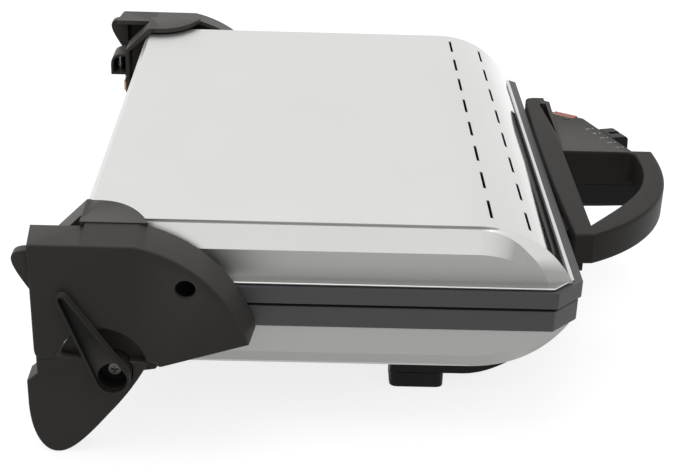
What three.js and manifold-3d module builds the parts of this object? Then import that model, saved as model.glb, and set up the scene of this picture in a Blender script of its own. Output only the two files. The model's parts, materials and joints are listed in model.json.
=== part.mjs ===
// Contact grill: two hinged cooking frames under pressed steel shells, swung on a pair of moulded arms.
// Millimetres, +Z up. The object stands on z = 0, with its middle over the origin.
// Inside the cooker group, y is measured from the middle of the cooking frames (handle at -y, hinge at +y)
// and z from the parting plane between the two frames.
import * as THREE from "three";
import { mergeVertices } from "three/addons/utils/BufferGeometryUtils.js";
import Module from "manifold-3d";

const wasm = await Module();
wasm.setup();

// Whole object
const partingHeight = 84.4; // parting plane above the counter
const frameCentreY = 27; // middle of the frames behind the middle of the object
const seatGap = 0.3; // between pieces that touch
const runGap = 0.8; // between pieces that move past each other
const overrun = 20; // how far a cut passes beyond what it cuts

// Cooking frames
const frameWidth = 345;
const frameDepth = 285;
const frameCorner = 15.3; // chamfer on the two front corners
const frameGap = 2.1;
const upperFrameHeight = 9.9;
const lowerFrameHeight = 12.9;
const lowerFrameInset = 1.2;
const lowerFrameShort = 32; // the lower frame ends this far in front of the upper one
const frameSide = 22; // frame beside the plates
const frameNose = 14.5; // frame in front of the plates
const frameTail = 46.5; // upper frame behind the plates
const plateThick = 4.6;
const plateClearance = 0.6;
const ribHeight = 2.2;
const ribPitch = 12;
const ribWidth = 5.4;
const ribCrest = 2.4;
const ribRoot = 0.3; // the valleys stand this much above the plate's border
const ribMargin = 10; // flat border round the ribs
const ledgeWidth = 6; // ledge of the frame that carries the plate
const studX = 80; // studs that hold the handle
const studRadius = 2.5;
const studReach = 9;

// Heating elements and their trays
const elementRuns = 4;
const elementPitch = 68;
const elementRadius = 3.1;
const elementRearInset = 8; // from the plate's rear edge
const elementLoopInset = 44; // rear bends and front bends, from the plate's edges
const elementSteps = 60;
const elementSides = 6;
const trayMargin = 6.5; // the tray's inner wall inside the plate's side
const trayLip = 7.2; // wing of the tray on the frame
const trayWall = 0.8;
const trayDepth = 12;
const trayFrontInset = 10;
const trayRearInset = 8;

// Pressed steel shells
const lidRise = 33.4;
const lidShoulder = 13.8; // from the roof down to the lower crease
const panRise = 29;
const panShoulder = 11;
const shellWall = 1.2;
const creaseInset = 11.9; // upper crease inside the frame's side
const sideInset = 5; // lower crease inside the frame's side
const sideFootInset = 7.5;
const sweepFootInset = 6; // foot of the front sweep behind the frame's front
const sweepPull = 19; // the sweep's pull behind its foot
const sweepLength = 54.5;
const lidRearInset = 6.5;
const panRearInset = 4.5;
const rearRound = 3;
const flangeThick = 1;
const flangeInset = 2.2;
const slotCount = 8;
const slotPitch = 39.3;
const slotLength = 22.8;
const slotWidth = 1.4;
const slotRowInsets = [46.2, 24.6]; // rows behind the foot of the sweep
const slotDepth = 14; // below the roof, deep enough for the second row
const shoulderSteps = 4;

// Hinge axis and arms
const hingeInset = 26.5; // hinge axis in front of the upper frame's rear edge
const hingeDrop = 31; // hinge axis below the parting plane
const armClear = 0.9; // between the frames and the arm covers
const armDepth = 23.6;
const armDraft = 3; // the cover is this much larger at its inner edge
const armRadius = 78.5; // rounded front of the arm cover, about the hinge axis
const armFlat = 1.8; // the cover's flat top below the crown of that round
const armWall = 3;
const armRear = 38; // rear edge behind the hinge axis
const armFrontLow = 19.6; // lower front corner above the axis
const armCutY = 3; // round cut-out over the foot boss: its middle from the axis
const armCutZ = 2.5;
const armCutRadius = 25.2;
const armCutFront = 27.6; // the lower edge ends this far in front of the axis
const armCutEnd = 4.3; // front end of the cut-out above the axis
const armCutRear = 9.9; // rear end of the cut-out above the axis
const armLobeLow = 8.8;
const armLobeHigh = 14.5;
const armLobeIn = 3.7;
const armHoleRadius = 5.5;
const finOut = 10; // behind the rear edge
const finDrop = 4; // below the cover's top
const finHeight = 23.4;
const finOverlap = 4;
const finThick = 5.5;
const humpReach = 26.4; // the cover's tongue over the lid, inward from the rim
const humpFront = 22; // in front of the hinge axis
const humpPullReach = 27.4;
const humpPullFront = 11.5;
const humpShoulder = 9; // rear end of the tongue's inner edge behind the axis
const humpRear = 14;
const humpThick = 3.2;
const humpClear = 1;
const humpRoot = 4; // overlap of the tongue on the rim
const strapGap = 8.4; // between the lid's rear and the strap
const strapThick = 2.6;
const strapFall = 17; // knee of the strap below the tongue
const strapStart = 7.4; // inner and outer sides of the strap, from the rim
const strapWidth = 20;
const strapLow = 28; // above the hinge axis
const boxReach = 11; // the small housing behind the lid
const boxLow = 44;
const boxHigh = 60;
const boxWall = 1.8;
const boxRound = 9;
const stopRadius = 2.4;
const clipLength = 12;
const clipHeight = 8;
const clipThick = 2;

// Steel arms, shaft and float pins
const pinFromRim = 10.6; // float pin inside the cover's round
const pinLift = 52.5; // float pin above the hinge axis
const pivotRadius = 3;
const pivotHead = 4.4;
const pivotHeadThick = 2;
const pivotReach = 20.9; // length of the float pin inside the arm
const armPlateThick = 2.6;
const armPlateHub = 14;
const armPlateEye = 10;
const shaftRadius = 6;
const boreClearance = 0.3;
const bushThick = 2.4;
const bushFlange = 2;
const bushRim = 2.4; // flange of the bush beyond its barrel
const blockGap = 1.8; // between the float block and the shell's crease line
const blockThick = 11.2;
const blockDepth = 24;
const blockHeight = 17;

// Rear feet, lever
const footGap = 3.8; // rear foot outside the rim's inner edge
const footThick = 15.8;
const footRear = 43.8; // behind the hinge axis
const footCornerHigh = 8;
const footCornerLow = 23.1;
const footNotch = 3; // lower end of the notch behind the cover's lobe
const footTopHigh = 8.5;
const footTipY = 29.5;
const footBoss = 26.7;
const footBossDrop = 5.4; // the boss lies behind the leaf's outer face
const footChamfer = 5.8;
const footBridgeReach = 37.2;
const footBridgeThick = 12;
const footBridgeFront = 8; // forward of the hinge axis
const footBridgeRear = 24;
const footBoreDeep = 5.8;
const footWeb = 4; // between the shaft's bore and the lever's cup
const padThick = 2.6;
const padWidth = 9;
const padLength = 12;
const padDeep = 1.2; // how far a pad is let into its foot
const leverDepth = 5; // outside the cover
const leverForward = 3.6; // the lever's axis in front of the hinge axis
const leverDrop = 0.5;
const leverHub = 9.6;
const leverTip = 3.2;
const leverTipY = 24.4; // tip from the lever's axis
const leverTipZ = 47.5;
const leverWall = 1.5;
const leverFloor = 1.4;
const screwHead = 4;
const screwHeadThick = 2.6;
const screwRadius = 2.2;
const screwSlot = 1;

// Rear cover of the base
const barrelRadius = 28.4;
const barrelWall = 2.4;
const barrelInset = 2.9; // inside the frame's side
const barrelLead = 4.6; // its front lip, forward of the hinge axis
const glandX = 62;
const glandDrop = 5; // below the hinge axis
const glandRadius = 6.8;
const glandBore = 3.2;
const glandLip = 1.2;

// Base underside and front foot
const basePlateThick = 3;
const basePlateInset = 22.5; // inside the frame's side
const basePlateFront = 36;
const basePlateRound = 8;
const skirtInset = 51.5; // inside the frame's side
const skirtFront = 131;
const skirtRear = 41;
const skirtDepth = 59; // below the lower frame
const skirtWall = 2.6;
const skirtCurve = 25.8; // height of the rounded front of the skirt
const skirtPull = 106;
const skirtFlat = 84; // where its flat underside starts
const skirtClear = 0.4;
const footBlockWidth = 24;
const footBlockFront = 73.5;
const footBlockRound = 5;
const frontPadLength = 22;
const frontPadWidth = 14;

// Handle and controls
const handleTop = 16;
const handleLow = -3;
const handleHalf = 113;
const barGap = 3.2; // ends of the bar in front of the frame
const barBow = 5.6; // pull of the bar's rear edge towards the frame
const barDeep = 11.1;
const bowReach = 60.5; // front of the bow from the bar's front edge
const bowEndInset = 2.6; // the bow leaves the bar's near end here
const bowShoulderInset = 16;
const bowShoulderReach = 25;
const bowCrown = 52;
const gripInset = 17.5; // narrow end of the finger opening from the bar's end
const gripReach = 46.5;
const gripPull = 57;
const boxNear = 15; // near wall of the control box
const housingSplit = -7.5;
const housingLow = -26;
const housingWall = 2.4;
const panelFall = 9.7; // fall of the panel over its width
const panelCornerInset = 19;
const panelCornerReach = 26.4; // corners of the panel, from the bar's front edge
const panelEndInset = 1;
const panelEndReach = 4.4;
const panelNearReach = 46.4;
const bowEnd = 18; // where the bow stops at the control panel
const slitTip = 41;
const slitInset = 12;
const slitWide = 4.4;
const handleRound = 5;
const housingRound = 14;
const lugWidth = 18;
const lugLow = 2.5;
const lugHigh = 9;
const hookInset = 4;
const hookWidth = 6;
const hookDepth = 5;
const hookThick = 3;
const knobLength = 22;
const knobReach = 13.5;
const knobHigh = 0.6; // top of the knob below the panel's edge
const knobLow = 12;
const knobRound = 3;
const knobFromBox = 45; // middle of the knob from the near wall
const knobStandOff = 0.6; // gap over the slope that it runs on
const stemOut = 5; // middle of the stem, outward from the panel's edge
const stemThick = 2;
const stemLength = 7;
const stemWide = 8;
const travelFar = 22;
const travelNear = 24;
const lensLength = 18;
const lensIn = 4.6;
const lensOut = 1.6;
const lensProud = 0.4;
const lensDeep = 2.8;
const readyInset = 21;
const readyReach = 14.4;
const readyRadius = 2;
const regulatorLength = 34;
const regulatorDepth = 18;
const regulatorHeight = 13;
const regulatorFromBox = 45;
const regulatorReach = 21.4;
const spindleRadius = 3;
const spindleHeight = 6;

// Shares of the rear foot's reach behind the axis and of its drop to the counter
const footRearPullShare = [0.99, 0.82];
const footTipPullShare = [0.86, 1];
const footFrontTipShare = [0.5, 1];
const footFrontPullShare = [0.34, 0.87];
const footWaistShare = [0, 0.52];
const footThroatPullShare = [-0.3, 0.24];
const footThroatShare = [-0.51, -0.1];

// Angles and counts
const facetAngle = THREE.MathUtils.degToRad(55); // slope outside the panel's edge
const roundSteps = 6;
const boltSteps = 16;

const frameHalf = frameWidth / 2;
const frameFront = -frameDepth / 2;
const frameRear = frameDepth / 2;
const upperFrameTop = frameGap / 2 + upperFrameHeight;
const lowerFrameBottom = -frameGap / 2 - lowerFrameHeight;
const lowerFrameRear = frameRear - lowerFrameShort;
const plateWidth = frameWidth - 2 * frameSide;
const plateFront = -frameFront - frameNose; // front edge of the plates, forward of the middle
const plateRear = frameRear - frameTail;
const lidFoot = upperFrameTop + seatGap;
const panFoot = lowerFrameBottom - seatGap;
const panBottom = panFoot - panRise;
const lidRear = frameRear - lidRearInset;
const panRear = lowerFrameRear - panRearInset;
const shellCrease = frameHalf - creaseInset; // half width at the upper crease
const shellSide = frameHalf - sideInset; // half width at the lower crease
const sweepFoot = -frameFront - sweepFootInset;
const floorZ = -partingHeight;
const hingeY = frameRear - hingeInset;
const hingeZ = -hingeDrop;
const axisDrop = hingeZ - floorZ; // hinge axis above the counter
const armInner = frameHalf + armClear; // inner edge of the cover's rim
const armOuter = armInner + armDepth; // outer face of the cover
const armTop = armRadius - armFlat;
const pinZ = pinLift; // float pin from the hinge axis
const pinY = -Math.sqrt((armRadius - pinFromRim) ** 2 - pinLift ** 2);
const pivotY = hingeY + pinY;
const pivotZ = hingeZ + pinZ;
const pivotInner = armInner - pivotReach;
const strapOuter = armInner - strapStart;
const strapInner = strapOuter - strapWidth;
const strapRear = lidRear - hingeY + strapGap; // inner face of the strap behind the lid
const footInner = armInner + footGap;
const footOuter = footInner + footThick; // outer face of the rear foot
const footBore = footInner + footBoreDeep; // end of the shaft bore in the foot
const leverCupFloor = footBore + footWeb;
const leverOuter = armOuter + leverDepth;
const barrelSide = frameHalf - barrelInset;
const skirtSide = frameHalf - skirtInset;
const barRear = -frameFront + barGap;
const barFront = barRear + barDeep;
const basePlateLow = panBottom - seatGap - basePlateThick;

const steel = { color: 0xcfcfcd, roughness: 0.32, metalness: 1 };
const castFrame = { color: 0x48484a, roughness: 0.5, metalness: 0.3 };
const castPlate = { color: 0x26272a, roughness: 0.55, metalness: 0.4 };
const housing = { color: 0x33312f, roughness: 0.6, metalness: 0 };
const blackPlastic = { color: 0x1b1b1c, roughness: 0.5, metalness: 0 };
const rubber = { color: 0x161616, roughness: 0.9, metalness: 0 };
const plated = { color: 0xb9b9bb, roughness: 0.25, metalness: 1 };
const redLens = { color: 0xa8463a, roughness: 0.2, metalness: 0 };
const greenLens = { color: 0x39453d, roughness: 0.2, metalness: 0 };
const copper = { color: 0xb07a55, roughness: 0.35, metalness: 1 };

// Solids and meshes

const weld = 1e-4;

function solidOf(geometry) {
  geometry.deleteAttribute("normal");
  geometry.deleteAttribute("uv");
  const merged = mergeVertices(geometry, weld);
  return new wasm.Manifold(new wasm.Mesh({
    numProp: 3,
    vertProperties: new Float32Array(merged.attributes.position.array),
    triVerts: new Uint32Array(merged.index.array),
  }));
}

function meshOf(name, solid, look) {
  const result = solid.getMesh();
  const geometry = new THREE.BufferGeometry();
  geometry.setAttribute("position", new THREE.BufferAttribute(result.vertProperties, 3));
  geometry.setIndex(new THREE.BufferAttribute(result.triVerts, 1));
  geometry.computeVertexNormals();
  const mesh = new THREE.Mesh(geometry, new THREE.MeshStandardMaterial(look));
  mesh.name = name;
  return mesh;
}

function joined(...solids) {
  return solids.reduce((whole, next) => whole.add(next));
}

function without(solid, ...cuts) {
  return cuts.reduce((whole, cut) => whole.subtract(cut), solid);
}

// An outline drawn in (y, z), carried along x.
function alongX(outline, from, to, bevel = {}) {
  const low = Math.min(from, to);
  const span = Math.abs(to - from);
  const geometry = new THREE.ExtrudeGeometry(outline, {
    depth: span, bevelEnabled: false, curveSegments: roundSteps, ...bevel,
  });
  const turn = new THREE.Matrix4().makeBasis(
    new THREE.Vector3(0, 1, 0), new THREE.Vector3(0, 0, 1), new THREE.Vector3(1, 0, 0));
  geometry.applyMatrix4(turn);
  geometry.translate(low, 0, 0);
  return solidOf(geometry);
}

// An outline drawn in (x, z), carried along y.
function alongY(outline, from, to) {
  const geometry = new THREE.ExtrudeGeometry(outline, {
    depth: to - from, bevelEnabled: false, curveSegments: roundSteps,
  });
  geometry.rotateX(Math.PI / 2);
  geometry.translate(0, to, 0);
  return solidOf(geometry);
}

// An outline drawn in (x, y), carried along z.
function alongZ(outline, from, to) {
  const geometry = new THREE.ExtrudeGeometry(outline, {
    depth: to - from, bevelEnabled: false, curveSegments: roundSteps,
  });
  geometry.translate(0, 0, from);
  return solidOf(geometry);
}

function block(x0, x1, y0, y1, z0, z1) {
  const geometry = new THREE.BoxGeometry(Math.abs(x1 - x0), Math.abs(y1 - y0), Math.abs(z1 - z0));
  geometry.translate((x0 + x1) / 2, (y0 + y1) / 2, (z0 + z1) / 2);
  return solidOf(geometry);
}

function rodX(y, z, radius, from, to, steps = boltSteps) {
  const geometry = new THREE.CylinderGeometry(radius, radius, Math.abs(to - from), steps);
  geometry.rotateZ(Math.PI / 2);
  geometry.translate((from + to) / 2, y, z);
  return solidOf(geometry);
}

function rodY(x, z, radius, from, to, steps = boltSteps) {
  const geometry = new THREE.CylinderGeometry(radius, radius, Math.abs(to - from), steps);
  geometry.translate(x, (from + to) / 2, z);
  return solidOf(geometry);
}

function rodZ(x, y, radius, from, to, steps = boltSteps) {
  const geometry = new THREE.CylinderGeometry(radius, radius, Math.abs(to - from), steps);
  geometry.rotateX(Math.PI / 2);
  geometry.translate(x, y, (from + to) / 2);
  return solidOf(geometry);
}

// A closed outline through corners [u, v, radius], each corner rounded where its radius is given.
function outlineOf(corners) {
  const shape = new THREE.Shape();
  corners.forEach(([u, v, radius = 0], i) => {
    const here = new THREE.Vector2(u, v);
    const before = corners[(i + corners.length - 1) % corners.length];
    const after = corners[(i + 1) % corners.length];
    const back = new THREE.Vector2(before[0], before[1]).sub(here).setLength(radius).add(here);
    const on = new THREE.Vector2(after[0], after[1]).sub(here).setLength(radius).add(here);
    if (i === 0) shape.moveTo(back.x, back.y);
    else shape.lineTo(back.x, back.y);
    if (radius > 0) shape.quadraticCurveTo(u, v, on.x, on.y);
  });
  shape.closePath();
  return shape;
}

// Two round ends joined by their tangents, as on a link or a pointer.
function linkOutline(a, radiusA, b, radiusB) {
  const along = Math.atan2(b[1] - a[1], b[0] - a[0]);
  const spread = Math.acos((radiusA - radiusB) / Math.hypot(b[0] - a[0], b[1] - a[1]));
  const shape = new THREE.Shape();
  shape.absarc(a[0], a[1], radiusA, along + spread, along - spread + 2 * Math.PI, false);
  shape.absarc(b[0], b[1], radiusB, along - spread, along + spread, false);
  shape.closePath();
  return shape;
}

// Everything above a sloped plane that holds the point and both directions.
function above(point, along, across, reach) {
  const up = new THREE.Vector3().crossVectors(along, across).normalize();
  const geometry = new THREE.BoxGeometry(reach, reach, reach);
  geometry.translate(0, 0, reach / 2);
  geometry.applyMatrix4(new THREE.Matrix4().makeBasis(along, across, up));
  geometry.translate(point.x, point.y, point.z);
  return solidOf(geometry);
}

// Cooking frames, plates, elements and trays: each is drawn with its cooking side up.

function frameOutline(inset, rear) {
  const half = frameHalf - inset;
  const front = frameFront + inset;
  return outlineOf([
    [-half, front + frameCorner], [-half + frameCorner, front],
    [half - frameCorner, front], [half, front + frameCorner],
    [half, rear], [-half, rear],
  ]);
}

// A cast ring with a ledge that carries the plate; its back is on z = 0.
function cookingFrame(inset, rear, height) {
  const ring = alongZ(frameOutline(inset, rear), 0, height);
  const half = plateWidth / 2 + plateClearance;
  const seat = block(-half, half, -plateFront - plateClearance, plateRear + plateClearance,
    height - plateThick - ribHeight - 2 * seatGap, height + overrun);
  const opening = block(-half + ledgeWidth, half - ledgeWidth, -plateFront + ledgeWidth,
    plateRear - ledgeWidth, -overrun, height);
  return without(ring, seat, opening);
}

function cookingPlate() {
  const half = plateWidth / 2;
  const slab = block(-half, half, -plateFront, plateRear, 0, plateThick);
  const ribHalf = half - ribMargin;
  const count = Math.floor((2 * ribHalf - ribWidth) / ribPitch) + 1;
  const first = -(count - 1) * ribPitch / 2;
  const outline = new THREE.Shape();
  outline.moveTo(-ribHalf, plateThick / 2);
  outline.lineTo(ribHalf, plateThick / 2);
  for (let i = count - 1; i >= 0; i -= 1) {
    const x = first + i * ribPitch;
    outline.lineTo(x + ribWidth / 2, plateThick + ribRoot);
    outline.lineTo(x + ribCrest / 2, plateThick + ribHeight);
    outline.lineTo(x - ribCrest / 2, plateThick + ribHeight);
    outline.lineTo(x - ribWidth / 2, plateThick + ribRoot);
  }
  outline.closePath();
  return joined(slab, alongY(outline, -plateFront + ribMargin, plateRear - ribMargin));
}

// A tube bent to and fro behind the plate, both ends at the rear; its middle lies on z = 0.
function heatingElement() {
  const path = new THREE.CurvePath();
  const turn = elementPitch / 2;
  const last = elementRuns - 1;
  for (let run = 0; run <= last; run += 1) {
    const x = (run - last / 2) * elementPitch;
    const forward = run % 2 === 0;
    const rearEnd = plateRear - (run === 0 || run === last ? elementRearInset : elementLoopInset);
    const frontEnd = elementLoopInset - plateFront;
    const start = forward ? rearEnd : frontEnd;
    const end = forward ? frontEnd : rearEnd;
    path.add(new THREE.LineCurve3(new THREE.Vector3(x, start, 0), new THREE.Vector3(x, end, 0)));
    if (run < last) {
      const reach = end + (forward ? -turn : turn);
      const next = x + elementPitch;
      path.add(new THREE.CubicBezierCurve3(new THREE.Vector3(x, end, 0), new THREE.Vector3(x, reach, 0),
        new THREE.Vector3(next, reach, 0), new THREE.Vector3(next, end, 0)));
    }
  }
  const section = new THREE.Shape();
  section.absarc(0, 0, elementRadius, 0, 2 * Math.PI, false);
  return solidOf(new THREE.ExtrudeGeometry(section, {
    extrudePath: path, steps: elementSteps, bevelEnabled: false, curveSegments: elementSides / 2,
  }));
}

// A bright tray behind the element, its wings against the frame at z = 0 and its floor below.
function reflectorTray() {
  const inner = plateWidth / 2 - trayMargin;
  const outer = inner + trayWall;
  const wing = inner + trayLip;
  return alongY(outlineOf([
    [-wing, 0], [-inner, 0], [-inner, -trayDepth + trayWall], [inner, -trayDepth + trayWall],
    [inner, 0], [wing, 0], [wing, -trayWall], [outer, -trayWall],
    [outer, -trayDepth], [-outer, -trayDepth], [-outer, -trayWall], [-wing, -trayWall],
  ]), trayFrontInset - plateFront, plateRear - trayRearInset);
}

// Pressed shells: a flat roof that sweeps down to the frame in front, with rounded shoulders.
// They are drawn rising from z = 0, the face that lies on the frame.

function pressForm(rise, shoulder, rear, inset, low) {
  const drop = shoulder + inset;
  const roof = rise - drop;
  const slope = Math.hypot(sweepPull, rise);
  const footY = -sweepFoot + drop * rise / slope;
  const footZ = -drop * sweepPull / slope;
  const pullY = footY + (roof - footZ) * sweepPull / rise;
  const back = rear - drop;
  const side = new THREE.Shape();
  side.moveTo(sweepLength - sweepFoot, roof);
  side.quadraticCurveTo(pullY, roof, footY, footZ);
  side.lineTo(footY, -overrun);
  side.lineTo(back, -overrun);
  side.lineTo(back, roof - rearRound);
  side.quadraticCurveTo(back, roof, back - rearRound, roof);
  side.closePath();
  const half = shellCrease - inset;
  const body = alongX(side, -half, half, {
    bevelEnabled: true, bevelThickness: creaseInset - sideInset, bevelSize: shoulder,
    bevelSegments: shoulderSteps,
  });
  const foot = frameHalf - sideFootInset - inset;
  const wide = shellSide - inset;
  const walls = outlineOf([
    [-foot, low], [foot, low], [wide, rise - shoulder], [wide, rise + overrun],
    [-wide, rise + overrun], [-wide, rise - shoulder],
  ]);
  return body.intersect(alongY(walls, -frameDepth, frameDepth));
}

function pressedShell(rise, shoulder, rear, flangeRear, inset) {
  const flange = alongZ(frameOutline(flangeInset + inset, flangeRear), 0, flangeThick);
  return without(joined(pressForm(rise, shoulder, rear, 0, 0), flange),
    pressForm(rise, shoulder, rear, shellWall, -overrun));
}

function lidShell() {
  const low = lidRise - slotDepth;
  const slots = [];
  slotRowInsets.forEach((inset) => {
    const y = inset - sweepFoot;
    for (let i = 0; i < slotCount; i += 1) {
      const x = (i - (slotCount - 1) / 2) * slotPitch;
      slots.push(block(x - slotLength / 2, x + slotLength / 2, y - slotWidth / 2, y + slotWidth / 2,
        low, lidRise + overrun));
    }
  });
  const pinHole = rodX(pivotY, pivotZ - lidFoot, pivotRadius + boreClearance, -frameHalf, frameHalf);
  return without(pressedShell(lidRise, lidShoulder, lidRear, frameRear - flangeInset, 0),
    ...slots, pinHole);
}

// Base: the pan and what hangs under it are drawn upside down, from the lower frame downwards.

function frontSkirtForm(inset, low) {
  const outline = new THREE.Shape();
  outline.moveTo(-skirtRear - inset, low);
  outline.lineTo(-skirtFront + inset, low);
  outline.lineTo(-skirtFront + inset, skirtDepth - skirtCurve);
  outline.quadraticCurveTo(-skirtPull, skirtDepth - inset, -skirtFlat, skirtDepth - inset);
  outline.lineTo(-skirtRear - inset, skirtDepth - inset);
  outline.closePath();
  return alongX(outline, -skirtSide + inset, skirtSide - inset);
}

function frontSkirt() {
  const room = pressForm(panRise, panShoulder, panRear, -skirtClear, -overrun);
  return without(frontSkirtForm(0, frameGap), frontSkirtForm(skirtWall, -overrun), room);
}

function baseUnderside() {
  const group = new THREE.Group();
  group.position.z = panFoot;
  group.rotation.y = Math.PI;
  const drop = panFoot - floorZ;
  group.add(meshOf("base_shell", pressedShell(panRise, panShoulder, panRear,
    lowerFrameRear - flangeInset, lowerFrameInset), steel));
  const plateTop = panRise + seatGap;
  const plateSide = frameHalf - basePlateInset;
  const plateRearY = hingeY + barrelRadius;
  group.add(meshOf("base_plate", alongZ(outlineOf([
    [-plateSide, -basePlateFront, basePlateRound], [plateSide, -basePlateFront, basePlateRound],
    [plateSide, plateRearY, basePlateRound], [-plateSide, plateRearY, basePlateRound],
  ]), plateTop, plateTop + basePlateThick), blackPlastic));
  group.add(meshOf("front_skirt", frontSkirt(), blackPlastic));
  [["left", 1], ["right", -1]].forEach(([side, s]) => {
    const inner = skirtSide - footBlockWidth;
    const foot = alongZ(outlineOf([
      [s * inner, -footBlockFront, footBlockRound], [s * skirtSide, -footBlockFront, footBlockRound],
      [s * skirtSide, -skirtRear, footBlockRound], [s * inner, -skirtRear, footBlockRound],
    ]), skirtDepth + seatGap, drop - padDeep);
    const x = s * (skirtSide - footBlockWidth / 2);
    const y = -(footBlockFront + skirtRear) / 2;
    const pad = (grow, low, high) => block(x - frontPadWidth / 2 - grow, x + frontPadWidth / 2 + grow,
      y - frontPadLength / 2 - grow, y + frontPadLength / 2 + grow, low, high);
    const recess = pad(seatGap, drop - padThick - seatGap, drop);
    group.add(meshOf(`front_foot_${side}`, without(foot, recess), blackPlastic));
    group.add(meshOf(`front_pad_${side}`, pad(0, drop - padThick, drop), rubber));
  });
  return group;
}

// Pieces about the hinge axis, with y and z measured from it.

function rearFoot(s) {
  const at = ([y, z]) => [y * footRear, -z * axisDrop];
  const leaf = new THREE.Shape();
  leaf.moveTo(...at(footThroatShare));
  leaf.lineTo(footRear - footChamfer, footTopHigh);
  leaf.lineTo(footRear - footChamfer, -footNotch);
  leaf.lineTo(footRear, -footCornerHigh);
  leaf.lineTo(footRear, -footCornerLow);
  leaf.bezierCurveTo(...at(footRearPullShare), ...at(footTipPullShare), footTipY, -axisDrop);
  leaf.bezierCurveTo(...at(footFrontTipShare), ...at(footFrontPullShare), ...at(footWaistShare));
  leaf.quadraticCurveTo(...at(footThroatPullShare), ...at(footThroatShare));
  const bridgeTop = basePlateLow - seatGap - hingeZ;
  const padZ = -axisDrop + padThick;
  const solid = joined(
    alongX(leaf, s * footInner, s * footOuter),
    rodX(0, 0, footBoss, s * footInner, s * (footOuter - footBossDrop), 2 * boltSteps),
    block(s * (footInner - footBridgeReach), s * (footInner + footBossDrop), -footBridgeFront,
      footBridgeRear, bridgeTop - footBridgeThick, bridgeTop),
  );
  const cuts = [
    rodX(0, 0, shaftRadius + boreClearance, s * (footInner - overrun), s * footBore),
    footPad(s, seatGap, padZ + seatGap),
    block(s * (footInner - overrun), s * (footOuter + overrun), 0, footRear, -axisDrop - overrun,
      -axisDrop + padDeep),
  ];
  if (s < 0) {
    cuts.push(rodX(-leverForward, -leverDrop, leverHub + runGap, s * (leverCupFloor - seatGap),
      s * (footOuter + overrun), 2 * boltSteps));
    cuts.push(rodX(-leverForward, -leverDrop, screwRadius + boreClearance, s * footBore, s * leverOuter));
  }
  return without(solid, ...cuts);
}

function footPad(s, grow, top) {
  const x = (footInner + footOuter) / 2;
  return block(s * (x - padWidth / 2 - grow), s * (x + padWidth / 2 + grow),
    footTipY - padLength / 2 - grow, footTipY + padLength / 2 + grow, -axisDrop, top);
}

function rearCover() {
  const low = panBottom - hingeZ;
  const arc = (radius, lead) => Math.acos(-lead / radius);
  const inner = barrelRadius - barrelWall;
  const skin = new THREE.Shape();
  skin.absarc(0, 0, barrelRadius, arc(barrelRadius, barrelLead), 0, true);
  skin.lineTo(barrelRadius, low);
  skin.lineTo(inner, low);
  skin.lineTo(inner, 0);
  skin.absarc(0, 0, inner, 0, arc(inner, barrelLead), false);
  skin.closePath();
  const end = new THREE.Shape();
  end.absarc(0, 0, barrelRadius, arc(barrelRadius, barrelLead), 0, true);
  end.lineTo(barrelRadius, low);
  end.lineTo(-barrelLead, low);
  end.closePath();
  const web = new THREE.Shape();
  const webHalf = shaftRadius + bushThick + bushRim;
  web.absarc(0, 0, webHalf, Math.PI / 2, 3 * Math.PI / 2, false);
  web.lineTo(webHalf, -webHalf);
  web.lineTo(webHalf, webHalf);
  web.closePath();
  const sides = [-1, 1].flatMap((s) => [end, web].map((outline) => alongX(outline,
    s * (barrelSide - barrelWall), s * barrelSide)));
  const bushHole = rodX(0, 0, shaftRadius + boreClearance + bushThick + seatGap, -frameHalf, frameHalf);
  const glandHole = rodY(glandX, -glandDrop, glandRadius - bushRim + seatGap, 0, frameHalf);
  return without(joined(alongX(skin, -barrelSide, barrelSide), ...sides), bushHole, glandHole);
}

function cordGland() {
  const lipAt = barrelRadius - barrelWall - seatGap;
  const body = rodY(glandX, -glandDrop, glandRadius - bushRim, lipAt - glandLip, barrelRadius);
  const lip = rodY(glandX, -glandDrop, glandRadius, lipAt - glandLip, lipAt);
  return without(joined(body, lip), rodY(glandX, -glandDrop, glandBore, 0, frameHalf));
}

function shaftBush(s) {
  const bore = shaftRadius + boreClearance;
  const flangeAt = barrelSide + seatGap;
  return without(
    joined(
      rodX(0, 0, bore + bushThick, s * (barrelSide - barrelWall - bushFlange), s * (flangeAt + bushFlange)),
      rodX(0, 0, bore + bushThick + bushRim, s * flangeAt, s * (flangeAt + bushFlange)),
    ),
    rodX(0, 0, bore, 0, s * frameWidth),
  );
}

// The lever and its screw are measured from the lever's own axis.
function lever(s) {
  const tip = [leverTipY, leverTipZ];
  const face = armOuter + 2 * seatGap;
  return without(alongX(linkOutline([0, 0], leverHub, tip, leverTip), s * face, s * leverOuter),
    alongX(linkOutline([0, 0], leverHub - leverWall, tip, leverTip - leverWall), s * (face + leverFloor),
      s * (leverOuter + overrun)),
    rodX(0, 0, leverHub - leverWall, s * armOuter, s * leverOuter, 2 * boltSteps));
}

// The cup under the lever reaches through the cover into the foot.
function leverCup(s) {
  return without(rodX(0, 0, leverHub, s * leverCupFloor, s * (armOuter + seatGap), 2 * boltSteps),
    rodX(0, 0, leverHub - leverWall, s * (leverCupFloor + leverFloor), s * leverOuter, 2 * boltSteps),
    rodX(0, 0, screwRadius + boreClearance, s * footBore, s * leverOuter));
}

function leverScrew(s) {
  const under = leverCupFloor + leverFloor + seatGap;
  const slot = block(s * (under + screwHeadThick / 2), s * leverOuter, -screwHead, screwHead,
    -screwSlot / 2, screwSlot / 2);
  const cross = block(s * (under + screwHeadThick / 2), s * leverOuter, -screwSlot / 2, screwSlot / 2,
    -screwHead / 2, screwHead / 2);
  return without(joined(
    rodX(0, 0, screwRadius, s * (footBore + seatGap), s * (under + screwHeadThick / 2)),
    rodX(0, 0, screwHead, s * under, s * (under + screwHeadThick)),
  ), slot.intersect(rodX(0, 0, screwHead / 2, s * under, s * leverOuter)), cross);
}

// Swinging arms

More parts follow.
